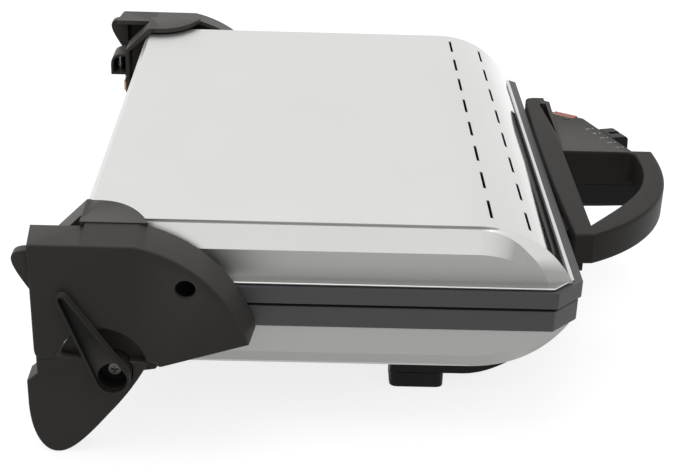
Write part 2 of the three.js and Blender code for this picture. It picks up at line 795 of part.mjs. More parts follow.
function armCoverOutline() {
  const crown = Math.PI - Math.asin(armTop / armRadius);
  const corner = Math.PI - Math.asin(armFrontLow / armRadius);
  const cutFrom = Math.PI - Math.asin((armCutEnd - armCutZ) / armCutRadius);
  const cutTo = Math.asin((armCutRear - armCutZ) / armCutRadius);
  const shape = new THREE.Shape();
  shape.moveTo(armRear, armTop);
  shape.lineTo(0, armTop);
  shape.absarc(0, 0, armRadius, crown, corner, false);
  shape.lineTo(-armCutFront, armCutEnd);
  shape.absarc(armCutY, armCutZ, armCutRadius, cutFrom, cutTo, true);
  shape.lineTo(armRear - armLobeIn, armLobeLow);
  shape.quadraticCurveTo(armRear, armLobeLow, armRear, armLobeHigh);
  shape.closePath();
  return shape;
}

// The room inside the cover: open towards the machine, behind and over the foot boss.
function armCoverRoom() {
  const radius = armRadius - armWall;
  const top = armTop - armWall;
  const low = armFrontLow + armWall;
  const shape = new THREE.Shape();
  shape.moveTo(armRear + overrun, top);
  shape.lineTo(0, top);
  shape.absarc(0, 0, radius, Math.PI - Math.asin(top / radius), Math.PI - Math.asin(low / radius), false);
  shape.lineTo(-armCutFront, armCutEnd + armWall);
  shape.lineTo(-armCutFront, -overrun);
  shape.lineTo(armRear + overrun, -overrun);
  shape.closePath();
  return shape;
}

// An outline drawn for the cover's outer face, growing by the draft towards the machine.
function drafted(outline, s, outer) {
  const rim = armInner - overrun;
  return alongX(outline, s * rim, s * armInner, {
    bevelEnabled: true, bevelThickness: outer - armInner, bevelSize: armDraft, bevelSegments: 1,
  }).intersect(block(s * rim, s * outer, -frameDepth, frameDepth, -frameDepth, frameDepth));
}

function finOutline() {
  const high = armTop - finDrop;
  const low = high - finHeight;
  const shape = new THREE.Shape();
  shape.moveTo(armRear - finOverlap, low);
  shape.lineTo(armRear, low);
  shape.bezierCurveTo(armRear + finOut - armWall, high - finHeight / 2, armRear + finOut + 2 * armWall, high,
    armRear, high);
  shape.lineTo(armRear - finOverlap, high);
  shape.closePath();
  return shape;
}

// The tongue reaches over the lid's rear corner and turns down behind it as a strap.
function tongueParts(s) {
  const under = lidFoot + lidRise + humpClear - hingeZ;
  const top = under + humpThick;
  const root = armInner + humpRoot;
  const plan = new THREE.Shape();
  plan.moveTo(s * root, -humpFront);
  plan.lineTo(s * armInner, -humpFront);
  plan.quadraticCurveTo(s * (armInner - humpPullReach), -humpPullFront, s * (armInner - humpReach), humpShoulder);
  plan.lineTo(s * (armInner - humpReach), humpRear);
  plan.lineTo(s * root, humpRear);
  plan.closePath();
  const knee = top - strapFall;
  const outer = strapRear + strapThick;
  const strap = outlineOf([
    [humpRear - strapThick, under], [humpRear - strapThick, top], [humpRear, top], [outer, knee],
    [outer, strapLow], [strapRear, strapLow], [strapRear, knee - humpClear],
  ]);
  return [
    alongZ(plan, under, top),
    block(s * armInner, s * root, -humpFront, humpRear, armTop - armWall, top),
    alongX(strap, s * strapInner, s * strapOuter),
  ];
}

function strapBox(s) {
  const rear = strapRear + strapThick + boxReach;
  const solid = alongX(outlineOf([
    [strapRear, boxLow], [rear, boxLow], [rear, boxHigh, boxRound], [strapRear, boxHigh],
  ]), s * strapInner, s * strapOuter);
  const room = alongX(outlineOf([
    [strapRear + strapThick, boxLow + boxWall], [rear - boxWall, boxLow + boxWall],
    [rear - boxWall, boxHigh - boxWall, boxRound - boxWall], [strapRear + strapThick, boxHigh - boxWall],
  ]), s * (strapInner - overrun), s * (strapOuter - boxWall));
  return { solid, room };
}

function armCover(s) {
  const box = strapBox(s);
  const form = drafted(armCoverOutline(), s, armOuter);
  const shell = form.intersect(block(s * armInner, s * armOuter, -frameDepth, frameDepth, 0, frameDepth));
  const room = drafted(armCoverRoom(), s, armOuter - armWall);
  const hole = rodX(pinY, pinZ, armHoleRadius, s * pivotInner, s * (armOuter + overrun));
  const inside = armOuter - armWall;
  const fin = alongX(finOutline(), s * (inside - finThick), s * (inside + armWall / 2));
  return without(joined(without(shell, room), fin, ...tongueParts(s), box.solid), hole, box.room);
}

// A steel link from the shaft to the float pin, rounded off inside the cover's rim.
function armPlate(s) {
  const near = armInner + seatGap;
  const far = near + armPlateThick;
  const link = alongX(linkOutline([0, 0], armPlateHub, [pinY, pinZ], armPlateEye), s * near, s * far);
  const limit = rodX(0, 0, armRadius - armWall - runGap, s * pivotInner, s * armOuter, 4 * boltSteps);
  return without(link.intersect(limit),
    rodX(0, 0, shaftRadius + boreClearance, 0, s * armOuter),
    rodX(pinY, pinZ, pivotRadius + boreClearance, 0, s * armOuter));
}

function floatPin(s) {
  const head = armInner + 2 * seatGap + armPlateThick;
  return joined(
    rodX(pinY, pinZ, pivotRadius, s * pivotInner, s * (head + pivotHeadThick / 2)),
    rodX(pinY, pinZ, pivotHead, s * head, s * (head + pivotHeadThick)),
  );
}

function stopPin(s) {
  const x = s * (strapInner + strapOuter) / 2;
  const y = strapRear + strapThick + boxReach / 2;
  return rodZ(x, y, stopRadius, boxLow + boxWall + seatGap, boxHigh - boxWall - seatGap - stopRadius);
}

function strapClip(s) {
  const x = (strapInner + strapOuter) / 2;
  const face = strapRear + strapThick + seatGap;
  const low = strapLow + clipThick;
  return block(s * (x - clipLength / 2), s * (x + clipLength / 2), face, face + clipThick,
    low, low + clipHeight);
}

function armsGroup() {
  const group = new THREE.Group();
  group.position.set(0, hingeY, hingeZ);
  group.add(meshOf("hinge_shaft", rodX(0, 0, shaftRadius, -footBore + runGap, footBore - runGap), plated));
  [["left", -1], ["right", 1]].forEach(([side, s]) => {
    group.add(meshOf(`arm_cover_${side}`, armCover(s), housing));
    group.add(meshOf(`arm_plate_${side}`, armPlate(s), plated));
    group.add(meshOf(`float_pin_${side}`, floatPin(s), plated));
    group.add(meshOf(`stop_pin_${side}`, stopPin(s), plated));
    group.add(meshOf(`strap_clip_${side}`, strapClip(s), copper));
  });
  return group;
}

function hingeBaseGroup() {
  const group = new THREE.Group();
  group.position.set(0, hingeY, hingeZ);
  group.add(meshOf("rear_cover", rearCover(), blackPlastic));
  group.add(meshOf("cord_gland", cordGland(), rubber));
  [["left", -1], ["right", 1]].forEach(([side, s]) => {
    group.add(meshOf(`rear_foot_${side}`, rearFoot(s), housing));
    group.add(meshOf(`rear_pad_${side}`, footPad(s, 0, -axisDrop + padThick), rubber));
    group.add(meshOf(`shaft_bush_${side}`, shaftBush(s), plated));
  });
  const screw = meshOf("lever_screw", leverScrew(-1), plated);
  screw.position.set(0, -leverForward, -leverDrop);
  group.add(screw);
  return group;
}

// Handle and controls

const bowFront = barFront + bowReach;
const panelSlope = panelFall / (handleHalf - panelEndInset - boxNear);
const onPanel = (x, y) => new THREE.Vector3(x, y, handleTop - (x - boxNear) * panelSlope);
const panelBack = -barFront - panelEndReach;
const nearCorner = onPanel(boxNear, -barFront - panelNearReach);
const midCorner = onPanel(handleHalf - panelCornerInset, -barFront - panelCornerReach);
const farCorner = onPanel(handleHalf - panelEndInset, panelBack);

function handlePlan(inset) {
  const shape = new THREE.Shape();
  const half = handleHalf - inset;
  const rear = -barRear - inset;
  const front = -bowFront + inset;
  const end = half - bowEndInset;
  shape.moveTo(-half, rear);
  shape.quadraticCurveTo(0, rear + barBow, half - handleRound, rear);
  shape.quadraticCurveTo(half, rear, half, rear - handleRound);
  shape.lineTo(half, -barFront);
  shape.absellipse(0, -barFront, half, bowReach - inset, 0, -Math.PI / 2, true);
  shape.bezierCurveTo(-bowCrown, front, bowShoulderInset - half, -barFront - bowShoulderReach, -end, -barFront);
  shape.closePath();
  return shape;
}

function fingerOpening() {
  const shape = new THREE.Shape();
  const front = -barFront - gripReach;
  shape.moveTo(boxNear, -barFront);
  shape.lineTo(boxNear, front);
  shape.quadraticCurveTo(-gripPull, front, gripInset - handleHalf, -barFront);
  shape.closePath();
  return alongZ(shape, housingLow - overrun, handleTop + overrun);
}

// Directions along an edge of the panel, outward from it, and down the slope outside it.
function edgeFrame(from, to) {
  const along = to.clone().sub(from).normalize();
  const out = new THREE.Vector3(along.y, -along.x, 0).normalize();
  const down = new THREE.Vector3().crossVectors(along, out).normalize();
  const slope = out.clone().multiplyScalar(Math.cos(facetAngle)).addScaledVector(down, Math.sin(facetAngle));
  return { along, out, down, slope };
}

// A section drawn in (outward, downward) from an edge of the panel, carried along that edge.
function alongEdge(outline, frame, start, length) {
  const geometry = new THREE.ExtrudeGeometry(outline, {
    depth: length, bevelEnabled: false, curveSegments: roundSteps,
  });
  geometry.applyMatrix4(new THREE.Matrix4().makeBasis(frame.out, frame.down, frame.along));
  geometry.translate(start.x, start.y, start.z);
  return solidOf(geometry);
}

const sideEdge = edgeFrame(nearCorner, midCorner);
const cornerEdge = edgeFrame(midCorner, farCorner);

// What lies above the panel and outside its edges, lowered by a wall for the room inside.
function abovePanel(wall) {
  const reach = 2 * handleHalf;
  const lower = new THREE.Vector3(0, 0, -wall);
  const steepWall = new THREE.Vector3(0, 0, -wall / Math.cos(facetAngle));
  const far = -bowFront - overrun;
  const right = handleHalf + overrun;
  const region = (x, y0, y1) => alongZ(outlineOf([
    [x, y0], [x, far], [right, far], [right, y1],
  ]), housingLow - overrun, handleTop + reach);
  const fall = new THREE.Vector3(1, 0, -panelSlope).normalize();
  const panel = above(nearCorner.clone().add(lower), fall, new THREE.Vector3(0, 1, 0), reach);
  const side = above(nearCorner.clone().add(steepWall), sideEdge.slope, sideEdge.along, reach);
  const corner = above(midCorner.clone().add(steepWall), cornerEdge.slope, cornerEdge.along, reach);
  const behind = region(boxNear, -barFront, panelBack);
  const beyondBow = region(bowEnd, -barFront, -barFront);
  return joined(panel.intersect(behind), joined(side, corner).intersect(beyondBow));
}

function lensSection(grow) {
  return outlineOf([
    [-lensIn - grow, -lensProud - overrun * Math.sign(grow)], [lensOut + grow, -lensProud - overrun * Math.sign(grow)],
    [lensOut + grow, lensDeep + grow], [-lensIn - grow, lensDeep + grow],
  ]);
}

function lensAt(section, grow) {
  const middle = midCorner.clone().add(farCorner).multiplyScalar(0.5);
  const start = middle.addScaledVector(cornerEdge.along, -lensLength / 2 - grow);
  return alongEdge(section, cornerEdge, start, lensLength + 2 * grow);
}

function stemSection(thick, inward, outward) {
  const foot = new THREE.Vector2(stemOut, stemOut * Math.tan(facetAngle));
  const t = new THREE.Vector2(Math.cos(facetAngle), Math.sin(facetAngle));
  const n = new THREE.Vector2(Math.sin(facetAngle), -Math.cos(facetAngle));
  const corner = (a, b) => foot.clone().addScaledVector(t, a).addScaledVector(n, b).toArray();
  return outlineOf([corner(-thick / 2, -inward), corner(thick / 2, -inward),
    corner(thick / 2, outward), corner(-thick / 2, outward)]);
}

const knobStart = knobFromBox / sideEdge.along.x;
const readyX = handleHalf - readyInset;
const readyY = -barFront - readyReach;
const onSideEdge = (distance) => nearCorner.clone().addScaledVector(sideEdge.along, distance);

function handleShell() {
  const far = block(boxNear, handleHalf, -bowFront, -barFront, housingSplit, handleTop);
  const plan = handlePlan(0);
  const outer = joined(alongZ(plan, handleLow, handleTop), alongZ(plan, housingSplit, handleTop).intersect(far));
  const inside = alongZ(handlePlan(housingWall), housingSplit - overrun, handleTop).intersect(
    block(boxNear + housingWall, handleHalf, -bowFront, panelBack - housingWall,
      housingSplit - overrun, handleTop));
  const room = without(inside, abovePanel(housingWall));
  const slit = alongZ(outlineOf([
    [slitTip, -barFront], [handleHalf - slitInset, -barFront], [handleHalf - slitInset, slitWide - barFront],
  ]), housingSplit - overrun, handleTop + overrun);
  const slotStart = onSideEdge(knobStart - travelNear - stemWide / 2 - runGap);
  const slotLong = travelNear + travelFar + stemWide + 2 * runGap;
  const slot = alongEdge(stemSection(stemThick + 2 * runGap, 2 * stemLength, stemLength), sideEdge,
    slotStart, slotLong);
  const ready = rodZ(readyX, readyY, readyRadius + seatGap, housingSplit, handleTop + overrun);
  const lugs = [-1, 1].map((s) => block(s * (studX - lugWidth / 2), s * (studX + lugWidth / 2),
    frameFront - seatGap, -barRear - seatGap, lugLow, lugHigh));
  const hookX = handleHalf - hookInset;
  const hook = block(-hookX - hookWidth / 2, -hookX + hookWidth / 2, -barRear - 2 * hookThick,
    -barRear - hookThick, handleLow - hookDepth, handleLow + hookThick);
  const studs = [-1, 1].map((s) => rodY(s * studX, upperFrameTop / 2, studRadius + boreClearance,
    -barRear - studReach, frameFront));
  return without(joined(outer, ...lugs, hook), fingerOpening(), slit, abovePanel(0), room, slot, ready,
    lensAt(lensSection(seatGap), seatGap), ...studs);
}

function boxForm(inset, top) {
  const low = housingLow + inset;
  const front = -bowFront + inset;
  const rear = -barFront - inset;
  const near = boxNear + inset;
  const far = handleHalf - inset;
  const round = housingRound - inset;
  const lengthwise = alongX(outlineOf([
    [rear, low, round], [rear, top], [front, top], [front, low, round],
  ]), near, far);
  const across = alongY(outlineOf([
    [near, low, round / 2], [far, low, round], [far, top], [near, top],
  ]), front, rear);
  return alongZ(handlePlan(inset), low, top).intersect(lengthwise).intersect(across);
}

function controlBox() {
  const top = housingSplit - seatGap;
  return without(boxForm(0, top), boxForm(housingWall, top + overrun), abovePanel(0));
}

function sliderKnob() {
  const gap = knobStandOff / Math.sin(facetAngle);
  const slopeAt = (down) => down / Math.tan(facetAngle) + gap;
  const grip = alongEdge(outlineOf([
    [slopeAt(knobHigh), knobHigh], [knobReach, knobHigh, knobRound],
    [knobReach, knobLow, knobRound], [slopeAt(knobLow), knobLow],
  ]), sideEdge, onSideEdge(knobStart - knobLength / 2), knobLength);
  const stem = alongEdge(stemSection(stemThick, stemLength, stemThick), sideEdge,
    onSideEdge(knobStart - stemWide / 2), stemWide);
  return joined(grip, stem);
}

function regulator() {
  const low = housingLow + housingWall + seatGap;
  const x = boxNear + regulatorFromBox;
  const y = -barFront - regulatorReach;
  const body = block(x - regulatorLength / 2, x + regulatorLength / 2,
    y - regulatorDepth / 2, y + regulatorDepth / 2, low, low + regulatorHeight);
  return joined(body, rodZ(x, y, spindleRadius, low + regulatorHeight / 2,
    low + regulatorHeight + spindleHeight));
}

function floatBlock(s) {
  const outer = shellSide - shellWall - blockGap;
  const body = block(s * (outer - blockThick), s * outer, pivotY - blockDepth / 2, pivotY + blockDepth / 2,
    lidFoot, lidFoot + blockHeight);
  return without(body, rodX(pivotY, pivotZ, pivotRadius + boreClearance, 0, s * frameWidth));
}

function handleStud(s) {
  return rodY(s * studX, upperFrameTop / 2, studRadius, -barRear - studReach + runGap,
    frameFront + studReach - runGap);
}

// Assembly

function placed(mesh, z, turned) {
  mesh.position.z = z;
  if (turned) mesh.rotation.y = Math.PI;
  return mesh;
}

function lowerHalf() {
  const group = new THREE.Group();
  const plateBack = frameGap / 2 + seatGap + ribHeight + plateThick;
  const elementBack = plateBack + seatGap + elementRadius;
  group.add(placed(meshOf("lower_frame", cookingFrame(lowerFrameInset, lowerFrameRear, lowerFrameHeight),
    castFrame), lowerFrameBottom, false));
  group.add(placed(meshOf("lower_plate", cookingPlate(), castPlate), -plateBack, false));
  group.add(placed(meshOf("lower_element", heatingElement(), plated), -elementBack, false));
  group.add(placed(meshOf("lower_reflector", reflectorTray(), plated), lowerFrameBottom - seatGap, false));
  return group;
}

function upperHalf() {
  const group = new THREE.Group();
  const plateBack = frameGap / 2 + seatGap + ribHeight + plateThick;
  const elementBack = plateBack + seatGap + elementRadius;
  const studHoles = [-1, 1].map((s) => rodY(s * studX, upperFrameTop / 2,
    studRadius + boreClearance, frameFront - overrun, frameFront + studReach));
  const frame = without(cookingFrame(0, frameRear, upperFrameHeight), ...studHoles);
  group.add(placed(meshOf("upper_frame", frame, castFrame), upperFrameTop, true));
  group.add(placed(meshOf("upper_plate", cookingPlate(), castPlate), plateBack, true));
  group.add(placed(meshOf("upper_element", heatingElement(), plated), elementBack, true));
  group.add(placed(meshOf("upper_reflector", reflectorTray(), plated), upperFrameTop + seatGap, true));
  group.add(placed(meshOf("lid_shell", lidShell(), steel), lidFoot, false));
  group.add(meshOf("handle", handleShell(), housing));
  group.add(meshOf("control_box", controlBox(), blackPlastic));
  group.add(meshOf("regulator", regulator(), plated));
  group.add(meshOf("slider_knob", sliderKnob(), blackPlastic));
  group.add(meshOf("heating_lens", lensAt(lensSection(0), 0), redLens));
  const readyTop = onPanel(readyX, readyY).z + lensProud;
  group.add(meshOf("ready_lens", rodZ(readyX, readyY, readyRadius, readyTop - lensDeep, readyTop), greenLens));
  [["left", -1], ["right", 1]].forEach(([side, s]) => {
    group.add(meshOf(`float_block_${side}`, floatBlock(s), plated));
    group.add(meshOf(`handle_stud_${side}`, handleStud(s), plated));
  });
  return group;
}

const cooker = new THREE.Group();
cooker.position.set(0, frameCentreY, partingHeight);
cooker.add(lowerHalf());
cooker.add(baseUnderside());
cooker.add(hingeBaseGroup());
cooker.add(armsGroup());
cooker.add(upperHalf());
const leverGroup = new THREE.Group();
leverGroup.position.set(0, hingeY - leverForward, hingeZ - leverDrop);
leverGroup.add(meshOf("hinge_lever", lever(-1), housing));
leverGroup.add(meshOf("lever_cup", leverCup(-1), housing));
cooker.add(leverGroup);

const grill = new THREE.Group();
grill.add(cooker);
export default grill;
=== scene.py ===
import json
from math import acos, asin, atan2, copysign, cos, dist, pi, radians, sin, sqrt, tan
import bpy
from mathutils import Matrix, Vector


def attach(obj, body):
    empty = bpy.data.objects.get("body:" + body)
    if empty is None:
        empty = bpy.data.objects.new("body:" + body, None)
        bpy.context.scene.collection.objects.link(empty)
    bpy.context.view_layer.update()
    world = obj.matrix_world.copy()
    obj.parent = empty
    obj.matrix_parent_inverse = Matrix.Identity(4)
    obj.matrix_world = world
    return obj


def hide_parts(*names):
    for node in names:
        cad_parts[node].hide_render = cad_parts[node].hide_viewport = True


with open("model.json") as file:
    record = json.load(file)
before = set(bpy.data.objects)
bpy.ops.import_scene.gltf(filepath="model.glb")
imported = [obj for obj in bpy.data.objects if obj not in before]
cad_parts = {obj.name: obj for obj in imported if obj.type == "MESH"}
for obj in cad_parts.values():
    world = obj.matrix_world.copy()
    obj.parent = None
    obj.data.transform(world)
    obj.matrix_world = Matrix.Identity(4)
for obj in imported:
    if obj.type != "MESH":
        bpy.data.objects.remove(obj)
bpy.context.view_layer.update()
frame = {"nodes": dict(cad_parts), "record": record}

# Places are given in mm from the middle of the cooking frames and the plane where they meet,
# handle towards -y, hinge towards +y. The hinge axis is the second starting point.
cooker = {"centreY": 27, "parting": 84.4, "hingeY": 116, "hingeZ": -31}
sides = {"left": -1, "right": 1}


def at(x, y, z):
    return Vector((x, y + cooker["centreY"], z + cooker["parting"])) / 1000


def upright(y, z, x):
    return at(x, y, z)


def facing(x, z, y):
    return at(x, y, z)


def aboutHinge(y, z, x):
    return at(x, y + cooker["hingeY"], z + cooker["hingeZ"])


def overHinge(x, y, z):
    return aboutHinge(y, z, x)


def behindHinge(x, z, y):
    return aboutHinge(y, z, x)


# Outlines are lists of points in one plane.
def arc(u, v, radius, start, end, steps=24):
    angles = [start + (end - start) * i / steps for i in range(steps + 1)]
    return [(u + radius * cos(angle), v + radius * sin(angle)) for angle in angles]


def along(a, pull, b, t):
    return tuple((1 - t) ** 2 * p + 2 * t * (1 - t) * q + t * t * r for p, q, r in zip(a, pull, b))


def bend(a, pull, b, steps=12):
    return [along(a, pull, b, i / steps) for i in range(steps + 1)]


def sCurve(a, pullA, pullB, b, steps=16):
    return [tuple((1 - t) ** 3 * p + 3 * t * (1 - t) ** 2 * q + 3 * t * t * (1 - t) * r + t ** 3 * s
                  for p, q, r, s in zip(a, pullA, pullB, b)) for t in (i / steps for i in range(steps + 1))]


# Corners with a third number are rounded by that distance.
def rounded(corners, steps=5):
    points = []
    for i, (u, v, *radius) in enumerate(corners):
        here = Vector((u, v))
        if not radius:
            points.append(tuple(here))
            continue
        others = (Vector(corners[j % len(corners)][:2]) for j in (i - 1, i + 1))
        start, end = (tuple(here + (other - here).normalized() * radius[0]) for other in others)
        points += bend(start, tuple(here), end, steps)
    return points


def oblong(u0, u1, v0, v1):
    return [(u0, v0), (u1, v0), (u1, v1), (u0, v1)]


def linkAround(a, radiusA, b, radiusB, steps):
    course = atan2(b[1] - a[1], b[0] - a[0])
    spread = acos((radiusA - radiusB) / dist(a, b))
    return (arc(*a, radiusA, course + spread, course - spread + 2 * pi, steps)
            + arc(*b, radiusB, course - spread, course + spread, steps // 2))


def clean(points):
    same = 1e-4
    kept = []
    for point in points:
        if not kept or dist(point, kept[-1]) > same:
            kept.append(point)
    if dist(kept[0], kept[-1]) < same:
        kept.pop()
    return kept


# Outline moved outwards by a distance, corner by corner.
def grown(points, distance):
    points = clean(points)
    area = sum(a[0] * b[1] - b[0] * a[1] for a, b in zip(points, points[1:] + points[:1]))
    turn, sharpest = copysign(1, area), 0.3
    moved = []
    for i, point in enumerate(points):
        here, before, after = Vector(point), Vector(points[i - 1]), Vector(points[(i + 1) % len(points)])
        a, b = (here - before).normalized(), (after - here).normalized()
        leaving, coming = Vector((a.y, -a.x)) * turn, Vector((b.y, -b.x)) * turn
        moved.append(tuple(here + (leaving + coming) * distance / max(sharpest, 1 + leaving.dot(coming))))
    return moved


# Working on a piece: modes, selection, solids from outlines, cuts and rounded edges.
def mode(name):
    bpy.ops.object.mode_set(mode=name)


def take(*pieces):
    if bpy.context.object and bpy.context.object.mode != "OBJECT":
        mode("OBJECT")
    bpy.ops.object.select_all(action="DESELECT")
    for piece in pieces:
        piece.select_set(True)
    if pieces:
        bpy.context.view_layer.objects.active = pieces[0]


def selectAll():
    mode("EDIT")
    bpy.ops.mesh.select_all(action="SELECT")


def closed(piece):
    selectAll()
    bpy.ops.mesh.normals_make_consistent(inside=False)
    mode("OBJECT")
    return piece


def latest(name):
    piece = bpy.context.object
    piece.name = piece.data.name = name
    return piece


# One flat face, selected and ready to be drawn out.
def faceOf(name, corners):
    take()
    bpy.ops.mesh.primitive_circle_add(vertices=len(corners), radius=0.05, fill_type="NGON")
    piece = latest(name)
    for vertex, corner in zip(piece.data.vertices, corners):
        vertex.co = corner
    selectAll()
    return piece


def slab(name, outline, low, high, place=at):
    piece = faceOf(name, [place(u, v, low) for u, v in clean(outline)])
    bpy.ops.mesh.extrude_region_move(TRANSFORM_OT_translate={"value": place(0, 0, high) - place(0, 0, low)})
    return closed(piece)


def block(name, x0, x1, y0, y1, z0, z1, place=at):
    return slab(name, oblong(x0, x1, y0, y1), z0, z1, place)


def rod(name, u, v, radius, low, high, place=aboutHinge, steps=40):
    return slab(name, arc(u, v, radius, 0, 2 * pi, steps), low, high, place)


# A solid through outlines of equal count, one for each level.
def lofted(name, levels, place=at):
    rings = [[place(u, v, level) for u, v in outline] for outline, level in levels]
    piece = faceOf(name, rings[0])
    for ring, following in zip(rings, rings[1:]):
        bpy.ops.mesh.extrude_region_move(TRANSFORM_OT_translate={"value": (0, 0, 0)})
        mode("OBJECT")
        for vertex in piece.data.vertices:
            if vertex.select:
                nearest = min(range(len(ring)), key=lambda i: (ring[i] - vertex.co).length_squared)
                vertex.co = following[nearest]
        mode("EDIT")
    return closed(piece)


# A slab about the hinge drawn for its face, which grows by the draft towards its rim.
def drafted(name, outline, growth, rim, face):
    points = clean(outline)
    return lofted(name, [(points, face), (grown(points, growth), rim)], aboutHinge)


# Edges this near to a level, in mm, count as lying on it.
nearby = 0.05


def roundEdges(piece, test, width, steps=3):
    take(piece)
    mode("EDIT")
    bpy.ops.mesh.select_all(action="DESELECT")
    bpy.ops.mesh.select_mode(type="EDGE")
    mode("OBJECT")
    for edge in piece.data.edges:
        edge.select = bool(test(*(piece.data.vertices[i].co * 1000 for i in edge.vertices)))
    mode("EDIT")
    bpy.ops.mesh.bevel(offset=width / 1000, segments=steps, profile=0.5, clamp_overlap=True)
    mode("OBJECT")
    return piece


def modified(piece, kind, **settings):
    take(piece)
    modifier = piece.modifiers.new("change", kind)
    for key, value in settings.items():
        setattr(modifier, key, value)
    bpy.ops.object.modifier_apply(modifier=modifier.name)
    return piece


def combine(piece, tool, how="DIFFERENCE"):
    modified(piece, "BOOLEAN", operation=how, object=tool, solver="EXACT")
    take(tool)
    bpy.ops.object.delete()
    return piece


def without(piece, *tools):
    for tool in tools:
        combine(piece, tool)
    return piece


def joined(piece, *others):
    for other in others:
        combine(piece, other, "UNION")
    return piece


def soften(piece, width, steps=2, angle=35):
    return modified(piece, "BEVEL", width=width / 1000, segments=steps, limit_method="ANGLE",
                    angle_limit=radians(angle), use_clamp_overlap=True)


# Points nearer than this, in m, become one, and holes with few sides are filled.
weld = {"built": 5e-6, "drawn": 1e-5, "holeSides": 8}


def finished(piece, body, look, *nodes, angle=32):
    take(piece)
    selectAll()
    bpy.ops.mesh.remove_doubles(threshold=weld["built"])
    bpy.ops.mesh.fill_holes(sides=weld["holeSides"])
    mode("OBJECT")
    bpy.ops.object.shade_smooth_by_angle(angle=radians(angle))
    modified(piece, "WEIGHTED_NORMAL", keep_sharp=True)
    piece.data.materials.clear()
    piece.data.materials.append(finishes[look])
    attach(piece, body)
    if nodes:
        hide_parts(*nodes)
    return piece


# A copy of a part of the frame with its edges eased.
def easedCopy(node, name, width):
    take(frame["nodes"][node])
    bpy.ops.object.duplicate()
    piece = bpy.context.object
    piece.name = name
    piece.parent = None
    for key in list(piece.keys()):
        del piece[key]
    selectAll()
    bpy.ops.mesh.remove_doubles(threshold=weld["drawn"])
    bpy.ops.mesh.dissolve_limited(angle_limit=radians(1))
    mode("OBJECT")
    return soften(piece, width)


# Finishes: what a shader node is fed is a plain value or another node's output.
def feed(tree, target, fed):
    for key, value in fed.items():
        if isinstance(value, bpy.types.NodeSocket):
            tree.links.new(value, target.inputs[key])
        else:
            target.inputs[key].default_value = value
    return target


def wired(tree, kind, fed=None, **settings):
    made = tree.nodes.new("ShaderNode" + kind)
    for key, value in settings.items():
        setattr(made, key, value)
    return feed(tree, made, fed or {})


def paint(red, green, blue):
    return red, green, blue, 1


# A colour is given as paint, any other second value as a number.
def mixed(tree, share, first, second):
    if isinstance(second, tuple):
        return wired(tree, "Mix", {0: share, 6: first, 7: second}, data_type="RGBA").outputs[2]
    return wired(tree, "Mix", {0: share, 2: first, 3: second}).outputs[0]


def maths(tree, how, first, second=0):
    return wired(tree, "Math", {0: first, 1: second}, operation=how).outputs[0]


def ranged(tree, value, low, high):
    return wired(tree, "MapRange", {"Value": value, "From Min": low, "From Max": high}).outputs["Result"]


# Fine random relief: a height for the bump, and a mask that shifts colour and gloss.
def grain(tree, given):
    place = wired(tree, "TexCoord").outputs["Object"]
    stretched = wired(tree, "VectorMath", {0: place, 1: given["Stretch"]}, operation="MULTIPLY")
    fine = wired(tree, "TexNoise", {"Vector": stretched.outputs[0], "Scale": given["Scale"],
                                    "Detail": given["Detail"]})
    broad = wired(tree, "TexNoise", {"Vector": place, "Scale": 14})
    return {"Height": fine.outputs["Fac"], "Mask": broad.outputs["Fac"]}


# Painted highlight: lighter colour on edges, read from how sharply the surface turns.
def edgeRub(tree, given):
    turning = wired(tree, "NewGeometry").outputs["Pointiness"]
    return {"Mask": ranged(tree, turning, given["Start"], given["End"])}


# One over the pressed front sweep between the corners, which is polished, and nought elsewhere.
def frontSweep(tree, given):
    place = wired(tree, "SeparateXYZ", {0: wired(tree, "TexCoord").outputs["Object"]}).outputs
    depth = ranged(tree, place["Y"], given["Start"], given["End"])
    inside = maths(tree, "LESS_THAN", maths(tree, "ABSOLUTE", place["X"]), given["Half Width"])
    return {"Mask": maths(tree, "MULTIPLY", depth, inside)}


# One on walls that stand upright or look down, which get painted shade in their colour and a duller gloss,
# and nought where the face leans back.
def uprightWall(tree, given):
    lean = wired(tree, "SeparateXYZ", {0: wired(tree, "TexCoord").outputs["Normal"]}).outputs["Z"]
    return {"Mask": ranged(tree, lean, given["Leaning"], given["Upright"])}


# A shared node group: its settings come in, and what the making function returns goes out.
def effect(make, settings):
    group = bpy.data.node_groups.new(make.__name__, "ShaderNodeTree")
    for label, value in settings.items():
        kind = "NodeSocketVector" if isinstance(value, tuple) else "NodeSocketFloat"
        group.interface.new_socket(name=label, in_out="INPUT", socket_type=kind).default_value = value
    results = make(group, group.nodes.new("NodeGroupInput").outputs)
    for label in results:
        group.interface.new_socket(name=label, in_out="OUTPUT", socket_type="NodeSocketFloat")
    feed(group, group.nodes.new("NodeGroupOutput"), results)
    return group


effects = {
    "grain": effect(grain, {"Scale": 1500.0, "Stretch": (1, 1, 1), "Detail": 3.0}),
    "edgeRub": effect(edgeRub, {"Start": 0.52, "End": 0.62}),
    "frontSweep": effect(frontSweep, {"Start": -0.045, "End": -0.075, "Half Width": 0.1603}),
    "uprightWall": effect(uprightWall, {"Upright": 0.2, "Leaning": 0.4}),
}


def effectOf(tree, name, fed=None):
    return wired(tree, "Group", fed, node_tree=effects[name]).outputs


